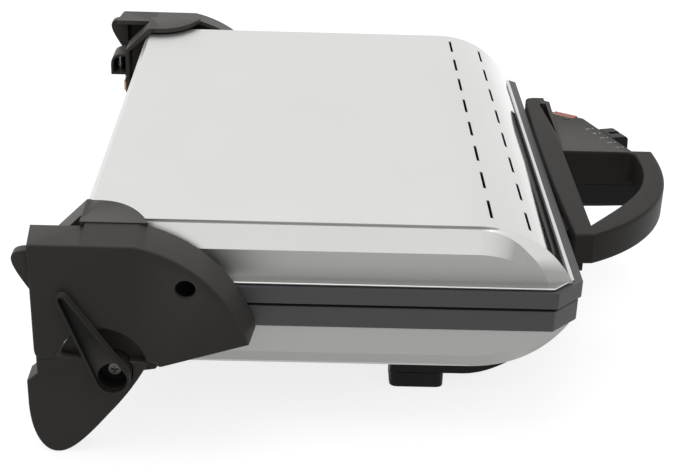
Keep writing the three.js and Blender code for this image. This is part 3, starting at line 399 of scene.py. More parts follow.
def finish(name, look):
    material = bpy.data.materials.new(name)
    material.use_nodes = True
    tree = material.node_tree
    relief = effectOf(tree, "grain", {"Scale": look["scale"], "Stretch": look.get("stretch", (1, 1, 1))})
    edgeHighlightMask = effectOf(tree, "edgeRub")["Mask"]
    spread = relief[look.get("colourBy", "Mask")]
    colour = mixed(tree, spread, paint(*look["dark"]), paint(*look["light"]))
    # Painted highlight: sharp edges take a lighter colour.
    colour = mixed(tree, edgeHighlightMask, colour, paint(*look.get("worn", look["light"])))
    low, high = look["rough"]
    rough = wired(tree, "MapRange", {"Value": relief["Mask"], "To Min": low, "To Max": high}).outputs[0]
    if "polished" in look:
        front, wall = (effectOf(tree, key)["Mask"] for key in ("frontSweep", "uprightWall"))
        rough = mixed(tree, front, rough, look["polished"])
        rough = mixed(tree, wall, rough, look["wallRough"])
        # Painted shade: walls that stand upright or look down take the darker wall colour.
        colour = mixed(tree, wall, colour, paint(*look["wall"]))
    bump = wired(tree, "Bump", {"Strength": look.get("bump", 0.1), "Distance": 0.0001,
                                "Height": relief["Height"]})
    feed(tree, tree.nodes["Principled BSDF"], {
        "Metallic": look.get("metal", 0), "Specular IOR Level": look.get("specular", 0.5),
        "Coat Weight": look.get("coat", 0), "Base Color": colour, "Roughness": rough,
        "Normal": bump.outputs["Normal"]})
    return material


plastic = {"specular": 0.13, "scale": 1500, "bump": 0.3}
bareMetal = {"metal": 1, "scale": 700, "bump": 0.05}
looks = {
    # The steel's wall colour is painted shade for walls that stand upright or look down.
    "satinSteel": {"slot": "shell_steel", "dark": (0.655, 0.655, 0.647), "light": (0.70, 0.70, 0.692),
                   "metal": 1, "rough": (0.27, 0.33), "scale": 900, "stretch": (0.05, 1, 1), "bump": 0.04,
                   "polished": 0.08, "wall": (0.36, 0.362, 0.35), "wallRough": 0.5},
    "frameCoat": {"slot": "frame_coating", "dark": (0.03, 0.03, 0.033), "light": (0.062, 0.062, 0.066),
                  "colourBy": "Height", "metal": 0.2, "rough": (0.4, 0.5), "scale": 2400, "bump": 0.25},
    "plateCoat": {"slot": "plate_coating", "dark": (0.012, 0.012, 0.013), "light": (0.03, 0.03, 0.032),
                  "rough": (0.35, 0.5), "scale": 1800, "bump": 0.3},
    # The edge colours of the plastics below are painted highlights on their sharp edges.
    "housing": {"slot": "housing_plastic", "dark": (0.028, 0.0259, 0.0235), "light": (0.036, 0.0333, 0.0303),
                "rough": (0.38, 0.46), "worn": (0.065, 0.061, 0.056), **plastic},
    "gripPlastic": {"slot": "housing_plastic", "dark": (0.016, 0.0147, 0.0133), "rough": (0.42, 0.5),
                    "light": (0.021, 0.0193, 0.0175), "worn": (0.045, 0.042, 0.038), **plastic,
                    "specular": 0.1},
    "leverPlastic": {"slot": "housing_plastic", "dark": (0.011, 0.0103, 0.0095), "rough": (0.45, 0.55),
                     "light": (0.015, 0.014, 0.013), "worn": (0.1, 0.095, 0.088), **plastic},
    "basePlastic": {"slot": "base_plastic", "dark": (0.009, 0.009, 0.009), "light": (0.013, 0.013, 0.0128),
                    "rough": (0.42, 0.5), **plastic, "bump": 0.25},
    "padRubber": {"slot": "pads", "dark": (0.006, 0.006, 0.006), "light": (0.012, 0.012, 0.012),
                  "rough": (0.7, 0.85), "specular": 0.3, "scale": 1200, "bump": 0.4},
    "plated": {"slot": "bright_steel", "dark": (0.62, 0.62, 0.63), "light": (0.7, 0.7, 0.7),
               "rough": (0.12, 0.2), **bareMetal},
    "darkScrew": {"slot": "bright_steel", "dark": (0.1, 0.1, 0.098), "light": (0.16, 0.16, 0.155),
                  "rough": (0.35, 0.5), **bareMetal},
    "redLamp": {"slot": "red_lens", "dark": (0.22, 0.05, 0.03), "light": (0.34, 0.08, 0.05),
                "rough": (0.15, 0.2), "coat": 0.4, "scale": 600, "bump": 0.05},
    "greenLamp": {"slot": "green_lens", "dark": (0.016, 0.02, 0.018), "light": (0.02, 0.026, 0.022),
                  "rough": (0.35, 0.4), "specular": 0.2, "scale": 600, "bump": 0.05},
    "copperBit": {"slot": "copper", "dark": (0.32, 0.19, 0.12), "light": (0.42, 0.26, 0.17),
                  "rough": (0.2, 0.3), **bareMetal},
    "markPaint": {"slot": "housing_plastic", "dark": (0.3, 0.29, 0.28), "light": (0.36, 0.35, 0.34),
                  "rough": (0.5, 0.6), "scale": 900},
}
finishes = {name: finish(name, look) for name, look in looks.items()}
print("finishes made", len(finishes))

# A part of the frame that stays as it is takes the first finish listed for its slot.
slotFinish = {look["slot"]: finishes[name] for name, look in reversed(looks.items())}
for entry in frame["record"]["subparts"]:
    mesh = frame["nodes"][entry["node"]].data
    mesh.materials.clear()
    mesh.materials.append(slotFinish[entry["material_slot"]])

# Pressed shells: rows run from the rear foot over the roof and down the front, columns from side to side.
shell = {"crease": 160.6, "step": 1.6, "lip": 0.9, "under": 0.35, "underDrop": 0.8, "fade": 0.3,
         "side": 167.5, "sideFoot": 165, "level": (90, 40, -20, -60), "wall": 1.2, "steps": 24,
         "sweepStart": 82, "sweepPull": 117.5, "sweepFoot": 136.5, "edgeFoot": 122.8, "edgePull": 110,
         "lowPull": 4, "lowFoot": 0.4}
lidForm = {"foot": 11.25, "up": 1, "rise": 33.4, "shoulder": 13.8, "rear": 136, "flangeRear": 140.3,
           "flangeInset": 2.2, "tail": [(0, 0), (0.4, 10.75), (1.5, 21.25), (4.2, 29.75), (7.7, 33.4)]}
panForm = {"foot": -14.25, "up": -1, "rise": 29, "shoulder": 11, "rear": 106, "flangeRear": 108.3,
           "flangeInset": 3.4, "tail": [(0, 0), (0.4, 9), (1.5, 18), (4.2, 25.6), (7.7, 29)]}
flange = {"half": 172.5, "front": -137.4, "corner": 10.2, "thick": 1.3, "edge": 0.55, "roomHigh": 3,
          "room": [(-164, -118), (-157, -133), (157, -133), (164, -118)], "roomHalf": 164, "roomRear": 6}
slots = {"rows": (-90.3, -111.9), "count": 8, "pitch": 39.3, "length": 22.8, "width": 1.7,
         "from": 12, "to": 50}
floatPin = {"hole": (72.94, 21.5, 3.3), "through": (150, 172)}


def shellRows(form):
    s = shell
    crease, step, foot, spread = s["crease"], s["step"], s["sideFoot"], s["side"] - s["sideFoot"]
    rise, low, start = form["rise"], form["rise"] - form["shoulder"], -s["sweepStart"]

    def sweep(high, pull, end):
        return along((start, high), (-pull, high), (-end, 0), t)
    rows = []
    for y, z in [(form["rear"] - back, z) for back, z in form["tail"]] + [(y, rise) for y in s["level"]]:
        share = z / rise
        rows.append([(foot, y, 0), (foot + spread * share, y, low * share),
                     (crease + s["lip"], y, z - step * share),
                     (crease - s["under"] * share, y, z - s["underDrop"] * step * share), (crease, y, z)])
    for i in range(s["steps"] + 1):
        t = i / s["steps"]
        y, z = sweep(rise, s["sweepPull"], s["sweepFoot"])
        edgeY, edgeZ = sweep(rise - step, s["edgePull"], s["edgeFoot"])
        lowY, lowZ = sweep(low, s["edgePull"] - s["lowPull"], s["edgeFoot"] - s["lowFoot"])
        edge = min(crease + s["lip"] + (rise - edgeZ) / 2, foot + spread * edgeZ / low)
        fade = max(0, 1 - t / s["fade"])
        under = [0.5 * (p + q) * (1 - fade) + r * fade for p, q, r in zip(
            (crease, y, z), (edge, edgeY, edgeZ), (crease - s["under"], y, z - s["underDrop"] * step))]
        rows.append([(foot, start + (s["sweepStart"] - s["edgeFoot"]) * t, 0),
                     (foot + spread * lowZ / low, lowY, lowZ), (edge, edgeY, edgeZ), under, (crease, y, z)])
    return rows


def pressing(name, form):
    rows = shellRows(form)
    across = [(-1, i) for i in range(5)] + [(0, 4)] + [(1, i) for i in range(4, -1, -1)]
    take()
    bpy.ops.mesh.primitive_grid_add(x_subdivisions=len(across) - 1, y_subdivisions=len(rows) - 1, size=0.3)
    piece = latest(name)
    for vertex in piece.data.vertices:
        row, column = divmod(vertex.index, len(across))
        sign, place = across[column]
        x, y, z = rows[row][place]
        vertex.co = at(sign * x, y, form["foot"] + form["up"] * z)
    selectAll()
    bpy.ops.mesh.remove_doubles(threshold=weld["drawn"])
    closed(piece)
    middle = max(piece.data.polygons, key=lambda face: face.area)
    if middle.normal.z * form["up"] < 0:
        mode("EDIT")
        bpy.ops.mesh.flip_normals()
        mode("OBJECT")
    return modified(piece, "SOLIDIFY", thickness=shell["wall"] / 1000, offset=-1)


def flangePlate(name, form):
    f = flange
    foot, rear, front = form["foot"], form["flangeRear"], f["front"]
    half, corner = f["half"] - form["flangeInset"], f["corner"] + form["flangeInset"]
    plate = slab(name, [(-half, front + corner), (corner - half, front), (half - corner, front),
                        (half, front + corner), (half, rear), (-half, rear)],
                 foot, foot + form["up"] * f["thick"])
    roomRear = rear - f["roomRear"]
    room = slab("room", f["room"] + [(f["roomHalf"], roomRear), (-f["roomHalf"], roomRear)],
                foot - f["roomHigh"], foot + f["roomHigh"])
    return soften(without(plate, room), f["edge"], 3)


def lidShell():
    foot, s = lidForm["foot"], slots
    near, far = floatPin["through"]
    long, wide = s["length"] / 2, s["width"] / 2
    lid = pressing("lidPressing", lidForm)
    cutters = []
    for y in s["rows"]:
        for i in range(s["count"]):
            x = (i - (s["count"] - 1) / 2) * s["pitch"]
            cutters.append(block("slotCut", x - long, x + long, y - wide, y + wide,
                                 foot + s["from"], foot + s["to"]))
    take(*cutters)
    bpy.ops.object.join()
    without(lid, bpy.context.object)
    for sign in sides.values():
        without(lid, rod("pinHole", *floatPin["hole"], sign * near, sign * far, upright))
    finished(lid, "lid", "satinSteel", "lid_shell", angle=12)
    finished(flangePlate("lidFlange", lidForm), "lid", "satinSteel", angle=30)


def baseShell():
    finished(pressing("basePressing", panForm), "base", "satinSteel", "base_shell", angle=12)
    finished(flangePlate("baseFlange", panForm), "base", "satinSteel", angle=30)


lidShell()
baseShell()
print("pressed shells made")

# Swinging arms: a hollow cover each side, with a tongue over the lid, a strap behind it and a fin.
arm = {"rim": 173.4, "face": 197, "draft": 2.3, "radius": 78.5, "top": 76.7, "rear": 38, "frontLow": 19.6,
       "corner": 1.5, "cutMiddle": (3, 2.5), "cutRadius": 25.2, "cutFront": (-27.6, 4.3), "cutRear": 9.9,
       "cutTip": ((-29.6, 4.9), (-27, 6.6)), "cutTurn": 0.17, "lobeIn": 3.7, "lobeLow": 8.8, "lobeHigh": 14.5,
       "wall": 3, "hole": (-43.06, 52.5, 5.5), "edge": 1.6, "stepY": 11, "stepIn": 0.3,
       "openBehind": 20, "openBelow": -20}
tongue = {"root": 174.2, "front": -22, "pull": (146, -11.5), "inner": 147, "shoulder": 9, "rear": 14,
          "under": 76.65, "top": 79.65, "edge": 1.1}
strap = {"near": 166, "far": 146, "front": 28.4, "rear": 31, "knee": 62.85, "kneeRound": 1.5, "low": 28,
         "lap": 2.6, "box": 42, "boxLow": 44, "boxHigh": 60, "round": 9, "wall": 1.8, "sunk": 1.1,
         "step": 0.1, "open": 5}
# How far cutters reach through a side piece and past it, and the widths of small eased edges.
cutter = {"inside": 150, "outside": 200, "past": 220, "behind": 70, "over": 95}
ease = {"fine": 0.3, "small": 0.4, "soft": 0.6}
fin = {"low": 49.3, "high": 72.7, "root": 4, "reach": 9.3, "pull": 6, "belly": 7, "near": 195.5, "far": 188.5,
       "edge": 0.7}


# A slab about the hinge on one side of the machine.
def sideSlab(name, outline, sign, low, high):
    return slab(name, outline, sign * low, sign * high, aboutHinge)


def sideBlock(name, y0, y1, z0, z1, sign, low, high):
    return block(name, y0, y1, z0, z1, sign * low, sign * high, aboutHinge)


def onFace(level):
    return lambda p, q: min(abs(p.x), abs(q.x)) > level - nearby


def armOutline():
    a = arm
    rear, top, middleZ, tipA, tipB = a["rear"], a["top"], a["cutMiddle"][1], *a["cutTip"]
    crown, corner = (pi - asin(a[key] / a["radius"]) for key in ("top", "frontLow"))
    start = pi - asin((a["cutFront"][1] - middleZ) / a["cutRadius"])
    end = asin((a["cutRear"] - middleZ) / a["cutRadius"])
    return (bend((rear, top - a["corner"]), (rear, top), (rear - a["corner"], top), 4)
            + arc(0, 0, a["radius"], crown, corner, 44) + bend(tipA, a["cutFront"], tipB, 3)
            + arc(*a["cutMiddle"], a["cutRadius"], start - a["cutTurn"], end, 24)
            + bend((rear - a["lobeIn"], a["lobeLow"]), (rear, a["lobeLow"]), (rear, a["lobeHigh"]), 6))


def armRoom():
    a = arm
    radius, top, low = a["radius"] - a["wall"], a["top"] - a["wall"], a["frontLow"] + a["wall"]
    front, bottom = a["cutFront"]
    behind = a["rear"] + a["openBehind"]
    return ([(behind, top)] + arc(0, 0, radius, pi - asin(top / radius), pi - asin(low / radius), 44)
            + [(front, bottom + a["wall"]), (front, a["openBelow"]), (behind, a["openBelow"])])


def tongueOver(sign):
    t = tongue
    rim = (sign * arm["rim"], t["front"])
    plan = ([(sign * t["root"], t["front"]), rim]
            + bend(rim, (sign * t["pull"][0], t["pull"][1]), (sign * t["inner"], t["shoulder"]), 16)
            + [(sign * t["inner"], t["rear"]), (sign * t["root"], t["rear"])])
    piece = slab("tongue", plan, t["under"], t["top"], overHinge)
    level = aboutHinge(0, t["top"], 0).z * 1000 - nearby
    return roundEdges(piece, lambda a, b: min(a.z, b.z) > level
                      and max(abs(a.x), abs(b.x)) < t["root"] - nearby, t["edge"], 3)


def strapBox(front, wall):
    s = strap
    low, high, rear = s["boxLow"] + wall, s["boxHigh"] - wall, s["box"] - wall
    return rounded([(front, low), (rear, low), (rear, high, s["round"] - wall), (front, high)], 8)


def strapBehind(sign):
    s, t = strap, tongue
    lap, knee, step, near, far = t["rear"] - s["lap"], s["knee"] - 1, s["step"], s["near"], s["far"]
    band = sideSlab("strap", rounded([
        (lap, t["under"]), (lap, t["top"]), (t["rear"], t["top"]), (s["rear"], s["knee"], s["kneeRound"]),
        (s["rear"], s["low"]), (s["front"], s["low"]), (s["front"], knee, s["kneeRound"])]), sign, far, near)
    housing = sideSlab("strapBox", strapBox(s["front"] + s["sunk"], 0), sign, far + step, near - step)
    room = sideSlab("boxRoom", strapBox(s["rear"] + step, s["wall"]), sign, far - s["open"], near - s["wall"])
    return soften(band, ease["small"]), soften(housing, ease["small"]), room


def armCover(side, sign):
    a, f = arm, fin
    top, rear, low, high = a["top"], a["rear"], f["low"], f["high"]
    shape = drafted("armCover" + side.capitalize(), armOutline(), a["draft"],
                    sign * a["rim"], sign * a["face"])
    roundEdges(shape, onFace(a["face"]), a["edge"], 4)
    inside = a["face"] - a["wall"]
    growth = a["draft"] * (inside - a["rim"] + 1) / (inside - a["rim"])
    room = drafted("armRoom", armRoom(), growth, sign * (a["rim"] - 1), sign * inside)
    behind, over, outside = (cutter[key] for key in ("behind", "over", "outside"))
    without(room, sideBlock("aboveRoom", a["stepY"] - a["wall"], behind, top - a["wall"], over, sign,
                            cutter["inside"], outside))
    without(shape, sideBlock("rearTop", a["stepY"], behind, top, over, sign, a["rim"] - a["stepIn"], outside),
            room)
    blade = sideSlab("fin", [(rear - f["root"], low), (rear, low)]
                     + sCurve((rear, low), (rear + f["belly"], (low + high) / 2),
                              (rear + f["reach"] + f["pull"], high), (rear, high), 18)
                     + [(rear - f["root"], high)], sign, f["far"], f["near"])
    band, housing, room = strapBehind(sign)
    joined(shape, soften(blade, f["edge"]), tongueOver(sign), band, housing)
    without(shape, room, rod("pinHole", *a["hole"], sign * cutter["inside"], sign * cutter["past"], steps=48))
    finished(shape, "arms", "housing", "arm_cover_" + side)


for side, sign in sides.items():
    armCover(side, sign)
print("arm covers made")

# Rear feet, with the lever in a cup on the left one.
foot = {"inner": 177.2, "outer": 193, "boss": 26.7, "bossFace": 187.6, "edge": 0.9, "bore": 6.3,
        "boreEnd": 183, "floor": -53.4, "rear": 43.8, "soleUp": 0.25, "pad": (23.2, 35.8), "padUp": 2.9,
        "padX": (180.3, 189.9), "bossEdge": 0.5, "bossBase": [(-25, -2), (0, -6), (25, -2)],
        "bridge": (140, 182.6), "bridgeY": (-8, 24, 5.5), "bridgeTop": -15.85, "bridgeThick": 12,
        "top": [(-22.3, 5.34), (38, 8.5), (38, -3), (43.8, -8)],
        "back": [(43.8, -23.1), (43.4, -42), (37.5, -53.4), (29.5, -53.4)],
        "sole": [(29.5, -53.4), (22.5, -53.4), (14.9, -46.5), (0, -27.8)],
        "shin": [(0, -27.8), (-13.1, -12.8), (-22.3, 5.34)],
        "cupSeat": 186.7, "cupGap": 0.8, "screwBore": 2.5, "padCut": 3, "soleCut": 5, "soleX": (170, 200)}
lever = {"axis": (-3.6, -0.5), "hub": 9.6, "tip": (24.4, 47.5), "tipRadius": 3.2, "near": 197.6, "face": 202,
         "wall": 1.5, "floor": 0.7, "edge": 0.5, "cupFloor": 187, "cupEnd": 197.3, "screw": 2.2, "head": 4,
         "headHigh": 2.6, "headEdge": 0.6, "gap": 0.3, "shankEnd": 183.3, "recess": 1.3,
         "cross": ((2, 0.5), (0.5, 2)), "roomFrom": -190, "boreFrom": -180, "recessTo": -210, "past": -220}


def rearFoot(side, sign):
    f = foot
    floor = f["floor"]
    leaf = sideSlab("rearFoot" + side.capitalize(), f["top"] + sCurve(*f["back"], 14) + sCurve(*f["sole"], 14)
                    + bend(*f["shin"], 10), sign, f["inner"], f["outer"])
    roundEdges(leaf, onFace(f["outer"]), f["edge"])
    boss = sideSlab("boss", arc(0, 0, f["boss"], 0, pi, 40) + f["bossBase"], sign,
                    f["inner"], f["bossFace"])
    front, rear, frontLow = f["bridgeY"]
    high, low = f["bridgeTop"], f["bridgeTop"] - f["bridgeThick"]
    bridge = sideSlab("bridge", [(front, high), (rear, high), (rear, low), (frontLow, low)], sign,
                      *f["bridge"])
    joined(leaf, soften(boss, f["bossEdge"]), soften(bridge, ease["small"]))
    without(leaf, rod("bore", 0, 0, f["bore"], sign * cutter["inside"], sign * f["boreEnd"], steps=32),
            sideBlock("padSeat", *f["pad"], floor - f["padCut"], floor + f["padUp"], sign, *f["padX"]),
            sideBlock("soleCut", 0, f["rear"], floor - f["soleCut"], floor + f["soleUp"], sign, *f["soleX"]))
    if sign < 0:
        axis, past = lever["axis"], lever["past"]
        without(leaf, rod("cupSeat", *axis, lever["hub"] + f["cupGap"], -f["cupSeat"], past, steps=56),
                rod("screwBore", *axis, f["screwBore"], -f["boreEnd"], past, steps=24))
    finished(leaf, "base", "housing", "rear_foot_" + side)


def leverPieces():
    v = lever
    y, z = v["axis"]
    tip = (y + v["tip"][0], z + v["tip"][1])
    room, past = v["hub"] - v["wall"], v["past"]
    pointer = sideSlab("hingeLever", linkAround((y, z), v["hub"], tip, v["tipRadius"], 36), -1,
                       v["near"], v["face"])
    roundEdges(pointer, onFace(v["face"]), v["edge"])
    without(pointer, slab("leverRoom", linkAround((y, z), room, tip, v["tipRadius"] - v["wall"], 36),
                          -v["near"] - v["floor"], past, aboutHinge),
            rod("hubRoom", y, z, room, v["roomFrom"], past, steps=56))
    finished(pointer, "lever", "leverPlastic", "hinge_lever")
    cup = rod("leverCup", y, z, v["hub"], -v["cupFloor"], -v["cupEnd"], steps=56)
    without(cup, rod("cupRoom", y, z, room, -v["cupFloor"] - v["floor"], past, steps=56),
            rod("cupBore", y, z, v["screw"] + v["gap"], v["boreFrom"], past, steps=24))
    finished(soften(cup, ease["fine"]), "lever", "leverPlastic", "lever_cup")
    under = v["cupFloor"] + v["floor"] + v["gap"]
    head = soften(rod("leverScrew", y, z, v["head"], -under, -under - v["headHigh"]), v["headEdge"], 3)
    joined(head, rod("shank", y, z, v["screw"], -v["shankEnd"], -under - 1, steps=24))
    recess = [block("recess", y - u, y + u, z - w, z + w, -under - v["recess"], v["recessTo"], aboutHinge)
              for u, w in v["cross"]]
    finished(without(head, *recess), "base", "darkScrew", "lever_screw")


for side, sign in sides.items():
    rearFoot(side, sign)
leverPieces()
print("feet and lever made")

# Rear cover of the base with its cord gland, front skirt with its feet.
barrel = {"radius": 28.4, "wall": 2.4, "lead": 4.6, "side": 169.6, "low": -12.25, "endIn": 0.6, "bushHole": 9,
          "web": 10.8, "gland": (62, -5), "glandRadius": 6.8, "glandNeck": 4.4, "glandBore": 3.2, "lip": 1.2,
          "gap": 0.3, "glandCut": (5, 60), "holeEnd": 180}
skirt = {"side": 121, "front": -131, "rear": -41, "top": -16.35, "bend": -47.45, "low": -73.25, "pull": -106,
         "flat": -84, "wall": 2.6, "clear": 0.4, "edge": 0.7, "panFrom": -20, "panHalf": 140}
frontFoot = {"outer": 121, "inner": 97, "front": -73.5, "rear": -41, "top": -73.27, "floor": -83.2,
             "round": 5, "edge": 0.8, "ribs": 4, "ribPitch": 4.2, "ribWide": 1.9, "ribDeep": 1.4,
             "padX": 109, "padHalf": 7.3, "padY": (-68.55, -45.95), "padTop": -81.5,
             "padCut": -90, "ribCut": 3}


def rearCover():
    b = barrel
    radius, low, wall = b["radius"], b["low"], b["side"] - b["wall"]
    inner, end = radius - b["wall"], radius - b["endIn"]

    def opening(distance):
        return acos(-b["lead"] / distance)
    skin = slab("rearCover", arc(0, 0, radius, opening(radius), 0, 30) + [(radius, low), (inner, low)]
                + arc(0, 0, inner, 0, opening(inner), 30), -b["side"], b["side"], aboutHinge)
    for sign in sides.values():
        joined(skin, sideSlab("end", arc(0, 0, end, opening(radius), 0, 30) + [(end, low), (-b["lead"], low)],
                              sign, wall, b["side"]),
               sideSlab("web", arc(0, 0, b["web"], pi / 2, 3 * pi / 2, 20)
                        + [(b["web"], -b["web"]), (b["web"], b["web"])], sign, wall, b["side"]))
        without(skin, rod("bushHole", 0, 0, b["bushHole"], sign * cutter["inside"], sign * b["holeEnd"]))
    x, z = b["gland"]
    without(skin, rod("glandHole", x, z, b["glandNeck"] + b["gap"], *b["glandCut"], behindHinge, 32))
    finished(soften(skin, ease["soft"]), "base", "basePlastic", "rear_cover")
    lipEnd = inner - b["gap"]
    gland = rod("cordGland", x, z, b["glandNeck"], lipEnd - b["lip"], radius, behindHinge)
    joined(gland, rod("glandLip", x, z, b["glandRadius"], lipEnd - b["lip"], lipEnd, behindHinge))
    without(gland, rod("glandBore", x, z, b["glandBore"], *b["glandCut"], behindHinge))
    finished(soften(gland, ease["fine"]), "base", "padRubber", "cord_gland")


def skirtForm(name, inset, top):
    k = skirt
    front, rear, low = k["front"] + inset, k["rear"] - inset, k["low"] + inset
    return slab(name, [(rear, top), (front, top)]
                + bend((front, k["bend"]), (k["pull"], low), (k["flat"], low), 18)
                + [(rear, low)], -k["side"] + inset, k["side"] - inset, upright)


def skirtPiece():
    k, s = skirt, shell
    piece = skirtForm("frontSkirt", 0, k["top"])
    level = at(0, 0, k["top"]).z * 1000 - 1
    roundEdges(piece, lambda a, b: abs(a.x - b.x) < nearby and max(a.z, b.z) < level, k["edge"])
    without(piece, skirtForm("skirtRoom", k["wall"], 0))
    panLow, front = panForm["foot"] - panForm["rise"] - k["clear"], -s["sweepFoot"] - k["clear"]
    sweep = bend((front, panForm["foot"]), (-s["sweepPull"], panLow), (-s["sweepStart"], panLow), 24)
    without(piece, slab("panRoom", [(k["panFrom"], 0), (front, 0)] + sweep + [(k["panFrom"], panLow)],
                        -k["panHalf"], k["panHalf"], upright))
    finished(piece, "base", "basePlastic", "front_skirt")


def footPiece(side, sign):
    f = frontFoot
    inner, outer, pad, floor = sign * f["inner"], sign * f["outer"], sign * f["padX"], f["floor"]
    corners = [(u, v, f["round"]) for u, v in oblong(inner, outer, f["front"], f["rear"])]
    base = slab("frontFoot" + side.capitalize(), rounded(corners), f["top"], floor)
    rear, past, half = f["rear"], f["ribCut"], f["padHalf"]
    without(base, block("padSeat", pad - half, pad + half, *f["padY"], f["padCut"], f["padTop"]))
    for i in range(f["ribs"]):
        x = sign * (f["outer"] - f["round"] - i * f["ribPitch"]) - f["ribWide"] / 2
        without(base, block("groove", x, x + f["ribWide"], rear - f["ribDeep"], rear + past, floor - past,
                            f["top"] + past))
    level = at(0, 0, floor).z * 1000 + nearby
    roundEdges(base, lambda a, b: max(a.z, b.z) < level, f["edge"])
    finished(base, "base", "basePlastic", "front_foot_" + side)


rearCover()
skirtPiece()
for side, sign in sides.items():
    footPiece(side, sign)
print("base covers made")

# Handle: a bar across the front, a bow round the fingers and a sloped control panel on the right.
grip = {"half": 113, "nearHalf": 109.2, "rear": -145.7, "farRear": -143.6, "bow": 5, "turn": 5,
        "front": -156.8, "reach": 60.5, "endInset": 0.6, "shoulder": (15, 19.2), "crown": 66, "top": 16,
        "low": -3, "split": -7.5, "boxLow": -26, "boxRise": 4, "boxNear": 15, "wall": 2.4, "round": 14,
        "edge": 2.8, "edgeSteps": 6, "barEdge": 1.2, "gap": 0.3, "lugX": 80, "lugHalf": 9,
        "lug": (-147.5, -142.2, 2.5, 9),
        "hook": (-108.6, -103, -151.7, -148.7, -8, 0), "stud": (6, 2.8, -154.7, -142),
        "slit": (41, 101), "slitEnd": ((101, 2), (101, 4.8), (97, 4.4)), "ready": (92, -171.2, 2.3),
        "beyond": (130, -230, -60, 40), "fineEdge": 0.35}
fingers = {"deep": -204, "round": 7, "turn": 8, "pullA": (-42, -207), "pullB": (-62, -184), "end": -95.5,
           "lip": 0.35, "flare": 1.2, "rim": (-1.2, -0.4, 0.2)}
panel = {"near": (15, -203.2), "middle": (94, -183.2), "far": (112, -161.2), "fall": 0.1, "facet": 55,
         "back": -161.2, "bowEnd": 18}
knob = {"from": 45, "length": 22, "reach": 13.5, "high": 0.6, "low": 12, "round": 3, "gap": 0.6, "edge": 0.7,
        "saddle": (4, 20, -2, 3.2), "saddleWide": 4, "stemOut": 5, "stemThick": 2, "stemLong": 7,
        "stemWide": 8, "clear": 0.8, "travel": (24, 22)}
lens = {"length": 18, "in": 4.6, "out": 1.6, "proud": 0.4, "deep": 2.8, "gap": 0.3, "stripes": (0.3, 0.62),
        "stripeHalf": 0.35, "stripeLow": 0.2, "edge": 0.2}
marks = {"first": (26, -194.8), "last": (67.5, -182), "count": 5, "size": 4.6, "thick": 0.04, "dotOff": 3.6,
         "dot": 0.65, "dotThick": 0.05}


def handlePlan(inset, barInset=None):
    g = grip
    barInset = inset if barInset is None else barInset
    near, half = g["nearHalf"] - barInset, g["half"] - barInset
    rear, farRear = g["rear"] - barInset, g["farRear"] - barInset
    reach, turn = g["reach"] - inset, half - g["turn"]
    crown = g["front"] - g["reach"] + inset
    shoulder = (g["shoulder"][0] - g["half"] + inset, g["front"] - g["shoulder"][1])
    return (bend((-near, rear), (0, rear + g["bow"]), (turn, farRear), 24)[:-1]
            + bend((turn, farRear), (half, farRear), (half, rear - g["turn"]), 6)
            + [(half * cos(angle), g["front"] - reach * sin(angle))
               for angle in (i * pi / 72 for i in range(36))]
            + sCurve((0, crown), (-g["crown"], crown), shoulder, (g["endInset"] - near, g["front"]), 36))


def onPanel(x, y):
    return Vector((x, y, grip["top"] - (x - grip["boxNear"]) * panel["fall"]))


def edgeFrame(start, end):
    run = (end - start).normalized()
    out = Vector((run.y, -run.x, 0)).normalized()
    down = run.cross(out).normalized()
    return run, out, down, out * cos(facet) + down * sin(facet)


facet = radians(panel["facet"])
nearCorner, midCorner, farCorner = (onPanel(*panel[key]) for key in ("near", "middle", "far"))
sideEdge, cornerEdge = edgeFrame(nearCorner, midCorner), edgeFrame(midCorner, farCorner)
lensStart = (midCorner + farCorner) / 2 - cornerEdge[0] * lens["length"] / 2
knobMiddle = knob["from"] / sideEdge[0].x


# A prism whose section is drawn outward and downward from an edge of the panel.
def alongEdge(name, section, frameOf, start, length):
    run, out, down = frameOf[:3]

    def place(u, v, w):
        return at(*(start + out * u + down * v + run * w))
    return slab(name, section, 0, length, place)


# Everything above a sloped plane through a point.
def overPlane(name, point, first, second, reach=260):
    rise = first.cross(second).normalized()

    def place(u, v, w):
        return at(*(point + first * u + second * v + rise * w))
    return block(name, -reach, reach, -reach, reach, 0, reach, place)


def abovePanel(drop):
    p, g = panel, grip
    front, right, low, high = -240, 134, -60, 90
    steep = Vector((0, 0, -drop / cos(facet)))
    fall = Vector((1, 0, -p["fall"])).normalized()
    roof = overPlane("roof", nearCorner + Vector((0, 0, -drop)), fall, Vector((0, 1, 0)))
    combine(roof, slab("region", [(g["boxNear"], g["front"]), (g["boxNear"], front), (right, front),
                                  (right, p["back"])], low, high), "INTERSECT")
    flank = overPlane("flank", nearCorner + steep, sideEdge[3], sideEdge[0])
    joined(flank, overPlane("bevelled", midCorner + steep, cornerEdge[3], cornerEdge[0]))
    combine(flank, block("beyond", p["bowEnd"], right, front, g["front"], low, high), "INTERSECT")
    return roof, flank


def fingerRoom():
    g, f = grip, fingers
    near, deep, below, above = g["boxNear"], f["deep"], *g["beyond"][2:]
    straight, lip, flare = (g["top"] + level for level in f["rim"])
    turned = (near - f["turn"], deep)
    outline = ([(near, g["front"])] + bend((near, deep + f["round"]), (near, deep), turned, 7)[:-1]
               + sCurve(turned, f["pullA"], f["pullB"], (f["end"], g["front"]), 26))
    flared = grown(outline, f["flare"])
    return lofted("fingerRoom", [(outline, below), (outline, straight), (grown(outline, f["lip"]), lip),
                                 (flared, flare), (flared, above)])


def stemSection(thick, inward, outward):
    base = Vector((knob["stemOut"], knob["stemOut"] * tan(facet)))
    t, n = Vector((cos(facet), sin(facet))), Vector((sin(facet), -cos(facet)))
    return [tuple(base + t * a + n * b) for a, b in oblong(-thick / 2, thick / 2, -inward, outward)]


def lensSection(grow, high):
    return oblong(-lens["in"] - grow, lens["out"] + grow, -high, lens["deep"] + grow)


